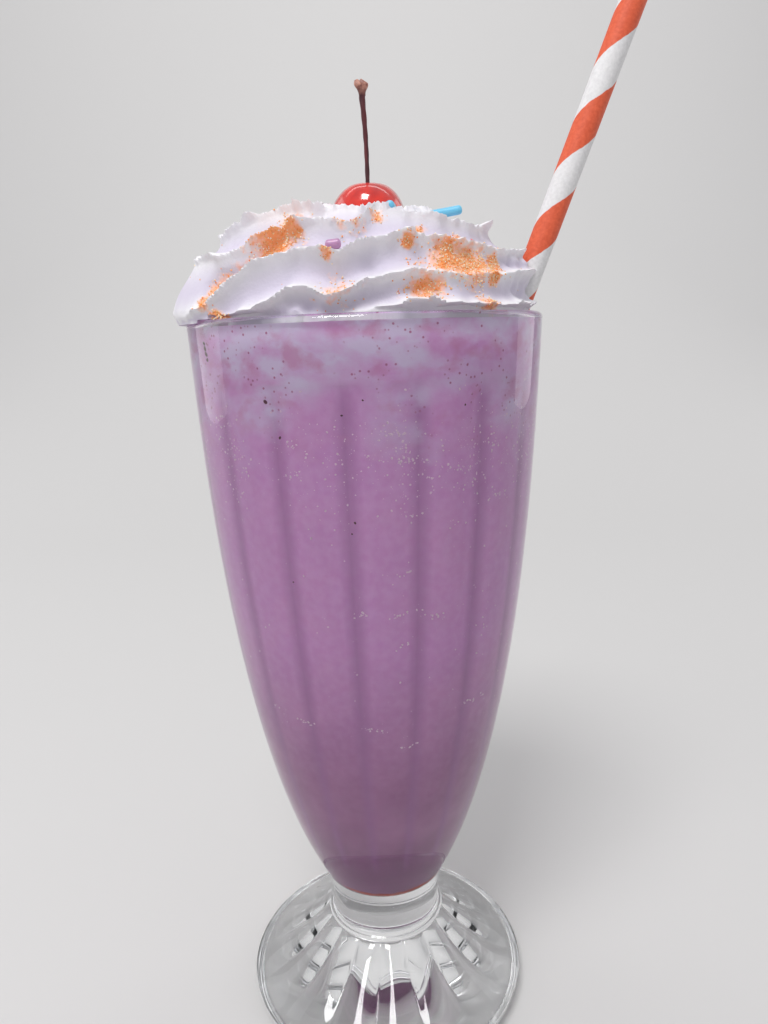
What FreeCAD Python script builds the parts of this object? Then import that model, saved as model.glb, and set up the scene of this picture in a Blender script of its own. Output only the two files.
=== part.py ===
# A milkshake in its footed soda-fountain glass: fluted glass, thick shake, syrup, whipped cream,
# a cherry on its stem and a paper straw.
# Frame: origin at the middle of the foot's underside, +Z up the glass's axis, the front towards -Y,
# the straw leaning towards +X. Millimetres.
import FreeCAD, Part

import math
import os

V = FreeCAD.Vector

doc = FreeCAD.newDocument("milkshake")

# ---------------------------------------------------------------- driving dimensions
SIZES = [
    # the glass
    ("glass_height", 190.0, "table to rim"),
    ("rim_radius", 43.0, "outside of the rim"),
    ("rim_wall", 3.0, "thickness of the plain band under the rim"),
    ("rim_flat", 0.3, "flat ring left between the two rounded edges of the rim"),
    ("rim_band", 6.5, "height of the plain band above the flutes"),
    ("bowl_lean", 0.04, "how much the wall leans in for each mm below the rim"),
    ("bowl_closing", 23.5, "height at which the bowl's curve would close"),
    ("bowl_fullness", 2.63, "exponent of the bowl's curve"),
    ("wall_thickening", 0.3, "wall added between the rim band and the bottom"),
    ("flute_count", 16, "lobes inside the bowl"),
    ("flute_ratio", 0.04, "depth of a flute as a share of its radius"),
    ("flute_run", 14.0, "height over which a flute fades in or out"),
    ("flute_turn", 4.3, "degrees from the front to the middle of the first lobe"),
    ("well_top", 41.0, "height where the flutes end in a round bottom"),
    ("well_bottom", 35.2, "height of the lowest point inside"),
    ("well_fullness", 0.5, "exponent of the round bottom's curve"),
    ("neck_radius", 15.4, "the solid neck between bowl and foot"),
    ("neck_blend", 1.5, "softness of the bend from neck to bowl"),
    ("neck_height", 22.6, "height of the ring where the neck meets the foot"),
    ("neck_ring", 1.1, "radius of that ring's section"),
    ("foot_radius", 39.1, "outside of the foot"),
    ("foot_edge", 5.6, "height of the foot's widest circle"),
    ("foot_bearing", 34.6, "radius of the flat the glass stands on"),
    ("foot_flare", 1.3, "exponent of the foot's rise towards the neck"),
    ("rib_count", 16, "rounded ribs on the foot"),
    ("rib_depth", 2.4, "depth of the valleys between ribs, measured level"),
    # the drink
    ("syrup_level", 37.0, "top of the syrup that sank to the bottom"),
    ("shake_depth", 14.0, "from the rim down to the shake, where the cream starts"),
    # the whipped cream
    ("cream_depth", 1.5, "from the rim down to where cream fills the glass to its wall"),
    ("cream_skirt", 2.3, "how far the heap reaches down into that filling"),
    ("cream_inset", 0.5, "from the rim's inside to the heap"),
    ("cream_overhang", 6.5, "how far it runs out over the rim on the left"),
    ("overhang_drop", 0.7, "how far it hangs down outside the rim there"),
    ("overhang_tuck", 2.2, "how far the overhang draws in again at the rim"),
    ("overhang_waist", 3.0, "how far the heap draws in above the overhang"),
    ("cream_rise", 29.0, "height of the heap above the brim"),
    ("cream_squareness", 2.4, "exponent of the heap's outline"),
    ("cream_fold", 3.2, "depth of the ledge between two turns"),
    ("cream_tilt", 0.035, "how much higher the left of the heap is than its middle"),
    ("clump_bulge", 2.6, "how far the clump beside the straw bulges"),
    ("nest_depth", 3.3, "hollow in front of the cherry"),
    # the cherry and its stem
    ("cherry_radius", 8.9, "across the cherry"),
    ("cherry_half_height", 7.0, "centre to top"),
    ("cherry_x", 1.7, "place of the cherry, left to right"),
    ("cherry_y", -5.0, "place of the cherry, front to back"),
    ("cherry_rise", 22.8, "height of the cherry's middle above the rim"),
    ("dimple_radius", 2.6, "hollow that the stem stands in"),
    ("dimple_depth", 1.3, "depth of that hollow"),
    ("stem_radius", 0.6, "thickness of the stem"),
    ("stem_length", 21.9, "stem above the cherry"),
    ("stem_lean", 2.0, "degrees the stem leans to the left"),
    ("stem_knob", 1.5, "radius of the stem's woody end"),
    # the straw
    ("straw_length", 197.0, "a standard paper straw"),
    ("straw_radius", 3.0, "outside"),
    ("straw_wall", 0.4, "rolled paper"),
    ("straw_lean", 21.2, "degrees from upright, towards +X"),
    ("straw_y", -6.0, "the straw stands in this plane"),
    ("straw_gap", 0.25, "between the straw and the rim it leans towards"),
    ("straw_above", 88.0, "straw above the rim, along the straw"),
]

dims = doc.addObject("Spreadsheet::Sheet", "dims")
for row, (alias, value, note) in enumerate(SIZES, start=1):
    dims.set("A%d" % row, alias)
    dims.set("B%d" % row, repr(value))
    dims.set("C%d" % row, note)
    dims.setAlias("B%d" % row, alias)
doc.recompute()


def size(alias):
    """The value in the sheet's cell, as a plain number."""
    return float(getattr(dims, alias))


# ---------------------------------------------------------------- helpers
def feature(kind, name, **bindings):
    """A Part feature whose properties are bound to the sheet."""
    obj = doc.addObject(kind, name)
    for prop, text in bindings.items():
        obj.setExpression(prop.replace("__", "."), text)
    return obj


def place(obj, x="0", y="0", z="0"):
    """Bind an object's position to the sheet."""
    for axis, text in (("x", x), ("y", y), ("z", z)):
        obj.setExpression("Placement.Base." + axis, text)
    return obj


def shaped(name, shape):
    """A feature for a form that no ready feature makes."""
    obj = doc.addObject("Part::Feature", name)
    obj.Shape = shape
    return obj


def cut(name, base, tool):
    obj = doc.addObject("Part::Cut", name)
    obj.Base, obj.Tool = base, tool
    return obj


def common(name, base, tool):
    obj = doc.addObject("Part::Common", name)
    obj.Base, obj.Tool = base, tool
    return obj


def fuse(name, *pieces):
    obj = doc.addObject("Part::MultiFuse", name)
    obj.Shapes = list(pieces)
    return obj


def revolved(name, wire):
    """Turn a closed profile in the XZ plane round the glass's axis."""
    profile = shaped(name + "_profile", Part.Face(wire))
    obj = doc.addObject("Part::Revolution", name)
    obj.Source = profile
    obj.Axis = V(0, 0, 1)
    obj.Base = V(0, 0, 0)
    obj.Angle = 360.0
    return obj


def line(start, end):
    """A straight edge of a profile, from (radius, height) to (radius, height)."""
    return Part.makeLine(V(start[0], 0, start[1]), V(end[0], 0, end[1]))


def arc(start, middle, end):
    """A round edge of a profile through three (radius, height) points."""
    return Part.Arc(*[V(r, 0, z) for r, z in (start, middle, end)]).toShape()


def curve(points):
    """A smooth edge of a profile through (radius, height) points."""
    spline = Part.BSplineCurve()
    spline.interpolate([V(r, 0, z) for r, z in points])
    return spline.toShape()


def steps(first, last, count):
    """Evenly spaced values, both ends included."""
    return [first + (last - first) * k / (count - 1) for k in range(count)]


def smooth(value):
    """Ease from 0 to 1, level at both ends."""
    value = min(1.0, max(0.0, value))
    return value * value * (3 - 2 * value)


def lobed_ring(height, crest, depth, lobes, turn):
    """A closed ring of equal arcs: each lobe's middle at the crest radius, its ends depth further in."""
    step = 2 * math.pi / lobes
    start = math.radians(turn - 90)

    def at(radius, angle):
        return V(radius * math.cos(angle), radius * math.sin(angle), height)

    edges = []
    for k in range(lobes):
        middle = start + k * step
        edges.append(Part.Arc(at(crest - depth, middle - step / 2), at(crest, middle),
                              at(crest - depth, middle + step / 2)).toShape())
    return Part.Wire(edges)


# ---------------------------------------------------------------- the glass's curves
def bowl_radius(height):
    """Outside of the bowl, running smoothly into the neck."""
    below = size("glass_height") - height
    closing = 1 - (below / (size("glass_height") - size("bowl_closing"))) ** size("bowl_fullness")
    bowl = (size("rim_radius") - size("bowl_lean") * below) * math.sqrt(max(0.0, closing))
    neck = size("neck_radius")
    return (bowl + neck + math.hypot(bowl - neck, size("neck_blend"))) / 2


def inner_radius(height):
    """Inside of the bowl at the lobes' crests."""
    top = size("glass_height") - size("rim_band")
    share = (top - height) / (top - size("well_top"))
    return bowl_radius(height) - size("rim_wall") - size("wall_thickening") * smooth(share)


def flute_depth(height):
    """Depth of the flutes: none at the plain band and at the round bottom."""
    top = size("glass_height") - size("rim_band")
    run = size("flute_run")
    fade = smooth((top - height) / run) * smooth((height - size("well_top")) / run)
    return size("flute_ratio") * inner_radius(height) * fade


# ---------------------------------------------------------------- glass
def glass_outside():
    """Bowl and neck as one turned blank, down into the foot."""
    top = size("glass_height")
    rim = size("rim_radius")
    rounding = (size("rim_wall") - size("rim_flat")) / 2
    shoulder = (bowl_radius(top - rounding), top - rounding)
    crown = (rim - rounding, top)
    bend = (rim - rounding * (1 - math.sin(math.pi / 4)), top - rounding * (1 - math.cos(math.pi / 4)))
    low = size("neck_height")
    bowl = [(bowl_radius(z), z) for z in steps(low, shoulder[1], 40)]
    root = (bowl[0][0], size("foot_edge"))
    centre = (0, size("foot_edge"))
    return revolved("bowl_outside", Part.Wire([
        line(centre, root), line(root, bowl[0]), curve(bowl), arc(shoulder, bend, crown),
        line(crown, (0, top)), line((0, top), centre)]))


def foot_shape():
    """The foot: a rounded edge, then ribs that rise to the neck and fade towards the edge."""
    bearing, edge = size("foot_bearing"), size("foot_radius")
    edge_height, neck = size("foot_edge"), size("neck_radius")
    lobes, turn = int(size("rib_count")), size("flute_turn")
    rings = []
    for k in range(6):
        angle = math.radians(90.0 * k / 5)
        rings.append(lobed_ring(edge_height * (1 - math.cos(angle)) if k else 0.0,
                                bearing + (edge - bearing) * math.sin(angle), 0.0, lobes, turn))
    rise = size("neck_height") - edge_height
    for share in steps(0.08, 1.0, 14):
        radius = edge - (edge - neck) * share ** (1 / size("foot_flare"))
        fade = smooth(share / 0.3) * (1 - 0.75 * smooth((share - 0.45) / 0.55))
        rings.append(lobed_ring(edge_height + rise * share, radius + 0.4 * fade,
                                size("rib_depth") * fade, lobes, turn))
    return shaped("foot", Part.makeLoft(rings, True, False))


def glass_inside():
    """The hollow of the bowl: round bottom, fluted wall, plain band with a rounded edge."""
    top, band = size("glass_height"), size("glass_height") - size("rim_band")
    lobes, turn = int(size("flute_count")), size("flute_turn")
    fluted = shaped("fluted_hollow", Part.makeLoft(
        [lobed_ring(z, inner_radius(z), flute_depth(z), lobes, turn)
         for z in steps(size("well_top"), band, 26)], True, False))

    # The bottom runs on from the wall above it, so that no crease shows through the thick glass.
    well_top, well_bottom = size("well_top"), size("well_bottom")
    heights = [well_top - (well_top - well_bottom) * math.cos(math.radians(a)) for a in steps(0, 90, 13)]
    closing = [math.sin(math.radians(a)) ** size("well_fullness") for a in steps(0, 90, 13)]
    well = revolved("round_bottom", Part.Wire([
        curve([(inner_radius(z) * share, z) for z, share in zip(heights, closing)]),
        line((inner_radius(well_top), well_top), (0, well_top)),
        line((0, well_top), (0, well_bottom))]))

    rounding = (size("rim_wall") - size("rim_flat")) / 2
    inner = size("rim_radius") - size("rim_wall")
    flare = [(inner, top - rounding),
             (inner + rounding * (1 - math.cos(math.pi / 4)), top - rounding * (1 - math.sin(math.pi / 4))),
             (inner + rounding, top)]
    mouth = revolved("mouth", Part.Wire([
        line((0, band), (inner_radius(band), band)),
        line((inner_radius(band), band), flare[0]),
        arc(*flare),
        line(flare[2], (0, top)),
        line((0, top), (0, band))]))
    return fuse("hollow", well, fluted, mouth)


neck_ring = feature("Part::Torus", "neck_bead", Radius1="dims.neck_radius", Radius2="dims.neck_ring")
place(neck_ring, z="dims.neck_height")
hollow = glass_inside()
glass = cut("glass", fuse("glass_blank", glass_outside(), foot_shape(), neck_ring), hollow)

# ---------------------------------------------------------------- straw
# The straw leans on the rim's inner edge: its middle there stands one radius and a gap inside it.
STRAW_TOP_X = ("(sqrt((dims.rim_radius - dims.rim_wall - dims.straw_gap)^2 - dims.straw_y^2)"
               " - dims.straw_radius / cos(dims.straw_lean)"
               " + dims.straw_above * sin(dims.straw_lean))")
STRAW_TOP_Z = "(dims.glass_height + dims.straw_above * cos(dims.straw_lean))"


def straw_rod(name, radius):
    """A rod along the straw's axis, from its lower end to its upper end."""
    rod = feature("Part::Cylinder", name, Radius=radius, Height="dims.straw_length")
    rod.Placement = FreeCAD.Placement(V(0, 0, 0), FreeCAD.Rotation(V(0, 1, 0), 1))
    rod.setExpression("Placement.Rotation.Angle", "dims.straw_lean")
    return place(rod, x=STRAW_TOP_X + " - dims.straw_length * sin(dims.straw_lean)", y="dims.straw_y",
                 z=STRAW_TOP_Z + " - dims.straw_length * cos(dims.straw_lean)")


straw = cut("straw", straw_rod("straw_outside", "dims.straw_radius"),
            straw_rod("straw_bore", "dims.straw_radius - dims.straw_wall"))

# ---------------------------------------------------------------- cherry and stem
CHERRY_MIDDLE = "dims.glass_height + dims.cherry_rise"
CHERRY_TOP = CHERRY_MIDDLE + " + dims.cherry_half_height"
cherry_ball = feature("Part::Ellipsoid", "cherry_ball", Radius1="dims.cherry_half_height",
                      Radius2="dims.cherry_radius", Radius3="dims.cherry_radius")
cherry_dimple = feature("Part::Cone", "cherry_dimple", Radius1="dims.stem_radius",
                        Radius2="dims.dimple_radius * 2", Height="dims.dimple_depth * 2")
for piece, height in ((cherry_ball, CHERRY_MIDDLE), (cherry_dimple, CHERRY_TOP + " - dims.dimple_depth")):
    place(piece, x="dims.cherry_x", y="dims.cherry_y", z=height)
cherry = cut("cherry", cherry_ball, cherry_dimple)


def stem_shape():
    """The stem: a thin stalk standing on the dimple's floor, with a knobbly woody end."""
    length = size("stem_length") + size("dimple_depth")
    thin, knob = size("stem_radius"), size("stem_knob")
    outline = [(thin * 1.0, 0), (thin * 0.85, length * 0.25), (thin * 0.95, length * 0.6),
               (thin * 1.25, length - 2.6 * knob), (knob, length - 1.2 * knob), (knob * 0.8, length)]
    return revolved("stem_stalk", Part.Wire([
        line((0, 0), outline[0]), curve(outline), line(outline[-1], (0, length)), line((0, length), (0, 0))]))


stem = stem_shape()
stem.Placement = FreeCAD.Placement(V(0, 0, 0), FreeCAD.Rotation(V(0, 1, 0), 1))
stem.setExpression("Placement.Rotation.Angle", "-dims.stem_lean")
place(stem, x="dims.cherry_x", y="dims.cherry_y", z=CHERRY_TOP + " - dims.dimple_depth")

# ---------------------------------------------------------------- drink
def layer(name, low, high):
    """The part of the glass's hollow between two heights."""
    slab = feature("Part::Cylinder", name + "_slab", Radius="dims.rim_radius",
                   Height="%s - (%s)" % (high, low))
    return common(name, hollow, place(slab, z=low))


syrup = layer("syrup", "dims.well_bottom - 1", "dims.syrup_level")
SHAKE_LEVEL = "dims.glass_height - dims.shake_depth"
milkshake = cut("milkshake", layer("shake_fill", "dims.syrup_level", SHAKE_LEVEL), straw)

# ---------------------------------------------------------------- whipped cream
# The rope's lip, turn after turn: degrees round from the right, and share of the climb to the top.
ROPE = [(200, -0.02), (265, 0.03), (284, 0.095), (300, 0.07), (360, 0.09),
        (450, 0.12), (520, 0.06), (585, 0.03), (601, 0.09), (611, 0.15), (622, 0.10), (629, 0.15),
        (643, 0.21), (653, 0.19), (690, 0.22), (720, 0.24),
        (810, 0.27), (870, 0.20), (925, 0.03), (938, 0.10), (952, 0.22), (960, 0.295), (977, 0.315),
        (981, 0.29), (995, 0.36), (1004, 0.415), (1009, 0.375), (1030, 0.37), (1050, 0.335),
        (1064, 0.335), (1080, 0.40),
        (1170, 0.47), (1230, 0.46), (1280, 0.33), (1302, 0.31), (1320, 0.44), (1328, 0.49),
        (1341, 0.48), (1347, 0.45), (1352, 0.56), (1356, 0.63), (1361, 0.62), (1372, 0.57),
        (1383, 0.56), (1396, 0.51), (1440, 0.54),
        (1530, 0.60), (1600, 0.56), (1642, 0.46), (1658, 0.52), (1668, 0.62), (1690, 0.68),
        (1712, 0.70), (1750, 0.76), (1800, 0.80), (1890, 0.85), (1980, 0.90), (2160, 0.97)]
ROPE_TURNS = 6
LEDGE_SHARE = 0.42
# Places on the heap: degrees round and their width, share of the climb and its width.
OVERHANG = (188, 40)
WAIST = (0.42, 0.15)
SUGARED = (305, 13, 0.26, 0.10)
PETAL = (201, 15, 0.10, 0.17)
CLUMP = (343, 10, 0.27, 0.11)
CREAM_STEPS = 90
CREAM_RINGS = 48


def bell(value, middle, width):
    """1 at the middle, fading smoothly to 0 about twice the width away."""
    return math.exp(-((value - middle) / width) ** 2)


def around(azimuth, degrees, width):
    """A bell over the azimuth, in degrees, that closes round the heap."""
    return bell(math.degrees(math.remainder(azimuth - math.radians(degrees), 2 * math.pi)), 0, width)


def between(value, stations):
    """Straight-line value between stations of (place, value), level beyond both ends."""
    if value <= stations[0][0]:
        return stations[0][1]
    for (low, first), (high, second) in zip(stations, stations[1:]):
        if value <= high:
            return first + (second - first) * (value - low) / (high - low)
    return stations[-1][1]


def cream_reach(azimuth):
    """Radius of the heap at the brim: inside the rim, but out over it on the left."""
    inside = size("rim_radius") - size("rim_wall") - size("cream_inset")
    return inside + size("cream_overhang") * around(azimuth, *OVERHANG)


def near_place(azimuth, share, place):
    """1 in the middle of a place on the heap, fading to 0 round it."""
    degrees, breadth, middle, height = place
    return around(azimuth, degrees, breadth) * bell(share, middle, height)


def fold(across):
    """Across one turn: a ledge falls back from the lip below, then a band rises to the next lip."""
    ledge = max(0.0, 1 - across / LEDGE_SHARE) ** 1.7
    band = max(0.0, (across - LEDGE_SHARE) / (1 - LEDGE_SHARE)) ** 2
    return ledge + band


def across_turn(share, lips):
    """How far across its turn of the rope this place is, and how wide that turn is."""
    below = -0.12
    for lip in lips:
        lip = max(lip, below + 0.02)
        if share < lip:
            return (share - below) / (lip - below), lip - below
        below = lip
    return 0.0, 0.1


def cream_point(share, azimuth, lips):
    """A point of the heap: share 0 at the brim, 1 at the top."""
    climb = math.radians(90 * share)
    power = 2 / size("cream_squareness")
    radius = cream_reach(azimuth) * math.cos(climb) ** power
    tuck = size("overhang_tuck") * smooth(1 - share / 0.1) + size("overhang_waist") * bell(share, *WAIST)
    radius -= tuck * around(azimuth, *OVERHANG)
    height = size("cream_rise") * (1 - size("cream_tilt") * math.cos(azimuth)) * math.sin(climb) ** power

    across, width = across_turn(share, lips)
    fade = smooth((share - 0.02) / 0.07) * smooth((1 - share) / 0.25)
    depth = size("cream_fold") * fade * min(1.15, width / 0.16)
    depth *= (1 - 0.75 * near_place(azimuth, share, SUGARED)) * (1 - 0.85 * near_place(azimuth, share, PETAL))
    depth *= 1 - 0.45 * max(around(azimuth, 170, 45), around(azimuth, 10, 50))
    lip = depth * (fold(across) - LEDGE_SHARE) + size("clump_bulge") * near_place(azimuth, share, CLUMP)
    radius += lip * min(1.0, 1.15 * math.cos(climb))
    height += lip * (0.20 + 0.45 * math.sin(climb))

    x, y = radius * math.cos(azimuth), radius * math.sin(azimuth)
    nest = math.exp(-(((x + 2) / 12) ** 2 + ((y + 15) / 8) ** 2))
    height -= size("nest_depth") * nest * (1 - 0.7 * bell(x, 4.0, 2.2))
    root = size("glass_height") - size("cream_depth") - size("cream_skirt")
    return V(x, y, root + height)


def cream_lips(azimuth):
    """Share of the climb of each turn's lip at this azimuth, from the lowest turn up."""
    degrees = math.degrees(azimuth % (2 * math.pi))
    return [sum(between(degrees + 360 * turn + off, ROPE) for off in (-3.0, 0.0, 3.0)) / 3
            for turn in range(ROPE_TURNS)]


def round_skin(rings):
    """A smooth surface, closed round the axis, that follows rings of equally many points."""
    around, levels = len(rings[0]), len(rings)
    skin = Part.BSplineSurface()
    skin.buildFromPolesMultsKnots([[ring[k] for ring in rings] for k in range(around)],
                                  [1] * (around + 1), [4] + [1] * (levels - 4) + [4],
                                  list(range(around + 1)), list(range(levels - 2)), True, False, 3, 3)
    return skin.toShape()


def cream_heap():
    """The heap over the rim: a round skin of rings laid one above the other, closed below and on top."""
    turns = [2 * math.pi * k / CREAM_STEPS for k in range(CREAM_STEPS)]
    lips = [cream_lips(azimuth) for azimuth in turns]
    rings = [[cream_point(share, azimuth, marks) for azimuth, marks in zip(turns, lips)]
             for share in steps(0.0, 0.94, CREAM_RINGS)]
    for end in (0, -1):
        level = sum(point.z for point in rings[end]) / len(rings[end])
        rings[end] = [V(point.x, point.y, level) for point in rings[end]]
    side = round_skin(rings)
    ends = [Part.Face(Part.Wire([edge])) for edge in side.Edges if len(edge.Vertexes) == 1]
    shell = Part.makeShell([side] + ends)
    shell.sewShape()
    return shaped("cream_heap", Part.Solid(shell))


cream_fill = layer("cream_fill", SHAKE_LEVEL, "dims.glass_height - dims.cream_depth")
# Outside the glass the heap only hangs over the rim, so what lies lower there is cut away.
beside_rim = cut("beside_rim",
                 feature("Part::Cylinder", "beside_rim_outside", Radius="dims.rim_radius + 2 * dims.cream_overhang",
                         Height="dims.cream_depth + dims.cream_skirt + 5 - dims.overhang_drop"),
                 feature("Part::Cylinder", "beside_rim_inside", Radius="dims.rim_radius - dims.rim_wall / 2",
                         Height="dims.cream_depth + dims.cream_skirt + 5 - dims.overhang_drop"))
place(beside_rim, z="dims.glass_height - dims.cream_depth - dims.cream_skirt - 5")
heap = cut("heap_on_rim", cream_heap(), fuse("below_heap", glass, beside_rim))
cream = cut("whipped_cream", fuse("cream_whole", cream_fill, heap),
            fuse("cream_guests", straw_rod("straw_space", "dims.straw_radius"), cherry, stem))

# ---------------------------------------------------------------- sub-parts
SUB_PARTS = {
    "glass": glass,
    "milkshake": milkshake,
    "syrup": syrup,
    "whipped_cream": cream,
    "cherry": cherry,
    "cherry_stem": stem,
    "straw": straw,
}
for node, piece in SUB_PARTS.items():
    piece.Label = node
doc.recompute()

for obj in doc.Objects:
    if "Invalid" in obj.State or "Error" in obj.State:
        raise RuntimeError("%s did not build: %s" % (obj.Name, obj.State))
for node, piece in SUB_PARTS.items():
    if piece.Shape.isNull() or not piece.Shape.isValid() or len(piece.Shape.Solids) != 1:
        raise RuntimeError("%s is not one sound solid" % node)

os.makedirs("parts", exist_ok=True)
for node, piece in SUB_PARTS.items():
    piece.Shape.exportStep("parts/%s.step" % node)
    box = piece.Shape.BoundBox
    print("%-14s %8.2f cm3  x %.1f..%.1f  y %.1f..%.1f  z %.1f..%.1f" % (
        node, piece.Shape.Volume / 1000, box.XMin, box.XMax, box.YMin, box.YMax, box.ZMin, box.ZMax))
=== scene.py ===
# %% [markdown]
# # A milkshake in its fluted glass
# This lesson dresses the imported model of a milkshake: the pressed glass, the pink shake, the piped
# cream with its orange sugar, the cherry and the paper straw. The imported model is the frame. It holds
# the true sizes, so every new piece takes its place from the frame's boxes.

# %% Load the frame
import math

import bmesh
import bpy
import numpy as np
from mathutils import Matrix, Vector


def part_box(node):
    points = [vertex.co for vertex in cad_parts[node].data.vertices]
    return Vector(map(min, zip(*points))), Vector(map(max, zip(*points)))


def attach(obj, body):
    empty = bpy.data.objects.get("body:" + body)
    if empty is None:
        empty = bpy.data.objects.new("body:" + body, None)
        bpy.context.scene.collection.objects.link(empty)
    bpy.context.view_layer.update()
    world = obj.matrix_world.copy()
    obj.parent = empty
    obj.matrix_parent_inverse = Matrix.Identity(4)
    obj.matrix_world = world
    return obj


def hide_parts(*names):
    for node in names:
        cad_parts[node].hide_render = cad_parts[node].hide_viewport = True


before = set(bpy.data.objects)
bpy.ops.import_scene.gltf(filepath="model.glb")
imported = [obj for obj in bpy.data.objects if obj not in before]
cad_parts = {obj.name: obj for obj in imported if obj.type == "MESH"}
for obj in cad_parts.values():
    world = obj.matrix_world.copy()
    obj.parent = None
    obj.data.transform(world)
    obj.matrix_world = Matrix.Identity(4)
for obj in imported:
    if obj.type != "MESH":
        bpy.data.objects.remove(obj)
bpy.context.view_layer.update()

MM = 0.001
print("packed nodes:", sorted(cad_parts))

# %% [markdown]
# ## Sizes from the frame
# The glass, the straw and the cherry were made to measure, so their boxes give the sizes that
# everything else follows. What a box can't show, such as the wall's thickness, is a named value here.

# %% Read the sizes
glass_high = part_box("glass")[1]
straw_low, straw_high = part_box("straw")
cherry_low, cherry_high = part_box("cherry")
stem_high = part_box("cherry_stem")[1]

GLASS_HEIGHT = glass_high.z
RIM_RADIUS = glass_high.x
print("glass %.1f mm high, %.1f mm across" % (GLASS_HEIGHT / MM, 2 * RIM_RADIUS / MM))

# %% [markdown]
# ## Helpers for hand modelling
# The operators act on whatever is selected, and the frame arrives selected. Each step therefore starts
# from a clean selection. A finished piece keeps its place in its mesh and its object at the origin.

# %% Selecting and finishing
def select_only(piece):
    """Make one object the only selected and active one."""
    bpy.ops.object.select_all(action="DESELECT")
    piece.select_set(True)
    bpy.context.view_layer.objects.active = piece


def settle(piece):
    """Bake the object's place, turn and size into its mesh."""
    select_only(piece)
    bpy.ops.object.transform_apply(location=True, rotation=True, scale=True)
    return piece


def points_of(piece):
    """The mesh's vertices as a table of x, y, z."""
    table = np.empty(len(piece.data.vertices) * 3)
    piece.data.vertices.foreach_get("co", table)
    return table.reshape(-1, 3)


def move_points(piece, table):
    """Put the vertices where the table says."""
    piece.data.vertices.foreach_set("co", table.ravel())
    piece.data.update()


MERGE_GAP = 0.005 * MM


def store(piece, name, values):
    """Keep one number for each vertex on the mesh, for a finish to read."""
    layer = piece.data.attributes.new(name, "FLOAT", "POINT")
    layer.data.foreach_set("value", values)


def seal(piece):
    """Merge doubles, close the seam and turn every face outwards."""
    select_only(piece)
    bpy.ops.object.mode_set(mode="EDIT")
    bpy.ops.mesh.select_all(action="SELECT")
    bpy.ops.mesh.remove_doubles(threshold=MERGE_GAP)
    bpy.ops.mesh.normals_make_consistent(inside=False)
    bpy.ops.object.mode_set(mode="OBJECT")
    return piece


def smooth_faces(piece, degrees=40):
    """Shade smoothly across gentle bends and keep edges sharper than the given angle."""
    select_only(piece)
    bpy.ops.object.shade_smooth_by_angle(angle=math.radians(degrees))


# %% [markdown]
# ## A lathe for round things
# Glass, drink, dome, rods, straw and stalk are all round about one axis. A section could be drawn as a
# curve, but one point extruded along it and then spun gives clean rows of faces at once.

# %% Spin a section
def turned(name, profile, steps):
    """Draw a profile of (radius, height) points by extruding a point, then spin it round the axis."""
    bpy.ops.object.select_all(action="DESELECT")
    bpy.ops.mesh.primitive_plane_add(size=0.001, location=(0, 0, 0))
    piece = bpy.context.object
    piece.name = piece.data.name = name
    bpy.ops.object.mode_set(mode="EDIT")
    bpy.ops.mesh.select_all(action="SELECT")
    bpy.ops.mesh.merge(type="CENTER")
    here = profile[0]
    bpy.ops.transform.translate(value=(here[0], 0, here[1]))
    for radius, height in profile[1:]:
        bpy.ops.mesh.extrude_vertices_move(
            TRANSFORM_OT_translate={"value": (radius - here[0], 0, height - here[1])})
        here = (radius, height)
    bpy.ops.mesh.select_all(action="SELECT")
    bpy.ops.mesh.spin(steps=steps, angle=2 * math.pi, center=(0, 0, 0), axis=(0, 0, 1), dupli=False)
    bpy.ops.object.mode_set(mode="OBJECT")
    return seal(piece)


def spread(first, last, count):
    """Evenly spaced values, both ends included."""
    return [first + (last - first) * k / (count - 1) for k in range(count)]


def ease(value):
    """Rise smoothly from 0 to 1."""
    value = np.clip(value, 0.0, 1.0)
    return value * value * (3 - 2 * value)


def polar(table):
    """Distance from the axis and direction round it of every point."""
    return np.hypot(table[:, 0], table[:, 1]), np.arctan2(table[:, 1], table[:, 0])


print("helpers ready, doubles merge within %.3f mm" % (MERGE_GAP / MM))

# %% [markdown]
# ## The glass's curves
# Pressed glass is a turned form: one curve outside, one inside, and flutes pressed into the inside
# by the plunger. The same few formulas then shape the glass and everything that fills it.

# %% Curves of the bowl
RIM_WALL = 3.0 * MM
RIM_BAND = 6.5 * MM
BOWL_LEAN = 0.04
BOWL_CLOSING = 23.5 * MM
BOWL_FULLNESS = 2.63
WALL_THICKENING = 0.3 * MM
NECK_RADIUS = 15.4 * MM
NECK_BLEND = 1.5 * MM
WELL_TOP = 41.0 * MM
WELL_BOTTOM = 35.2 * MM
WELL_FULLNESS = 0.5


def bowl_radius(height):
    """Outside of the bowl, running smoothly into the neck."""
    below = max(0.0, GLASS_HEIGHT - height)
    closing = 1 - (below / (GLASS_HEIGHT - BOWL_CLOSING)) ** BOWL_FULLNESS
    bowl = (RIM_RADIUS - BOWL_LEAN * below) * math.sqrt(max(0.0, closing))
    return (bowl + NECK_RADIUS + math.hypot(bowl - NECK_RADIUS, NECK_BLEND)) / 2


def inner_radius(height):
    """Inside of the bowl at the crests of its lobes."""
    top = GLASS_HEIGHT - RIM_BAND
    share = (top - height) / (top - WELL_TOP)
    return bowl_radius(height) - RIM_WALL - WALL_THICKENING * float(ease(share))


def well_radius(height):
    """Inside of the round bottom."""
    down = (WELL_TOP - height) / (WELL_TOP - WELL_BOTTOM)
    return inner_radius(height) * math.sin(math.acos(min(1.0, down))) ** WELL_FULLNESS


print("hollow %.1f mm deep" % ((GLASS_HEIGHT - WELL_BOTTOM) / MM))

# %% [markdown]
# ## Flutes
# The plunger that presses the hollow has rounded lobes, which leave shallow valleys between them. They
# start under the plain rim band and die away at the round bottom. They are made by drawing the
# points of the wall towards the axis, as deep as the place asks.

# %% How deep a flute is, and where
FLUTES = 16
FLUTE_RATIO = 0.04
FLUTE_RUN = 14.0 * MM
FLUTE_TURN = math.radians(4.3 - 90)


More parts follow.
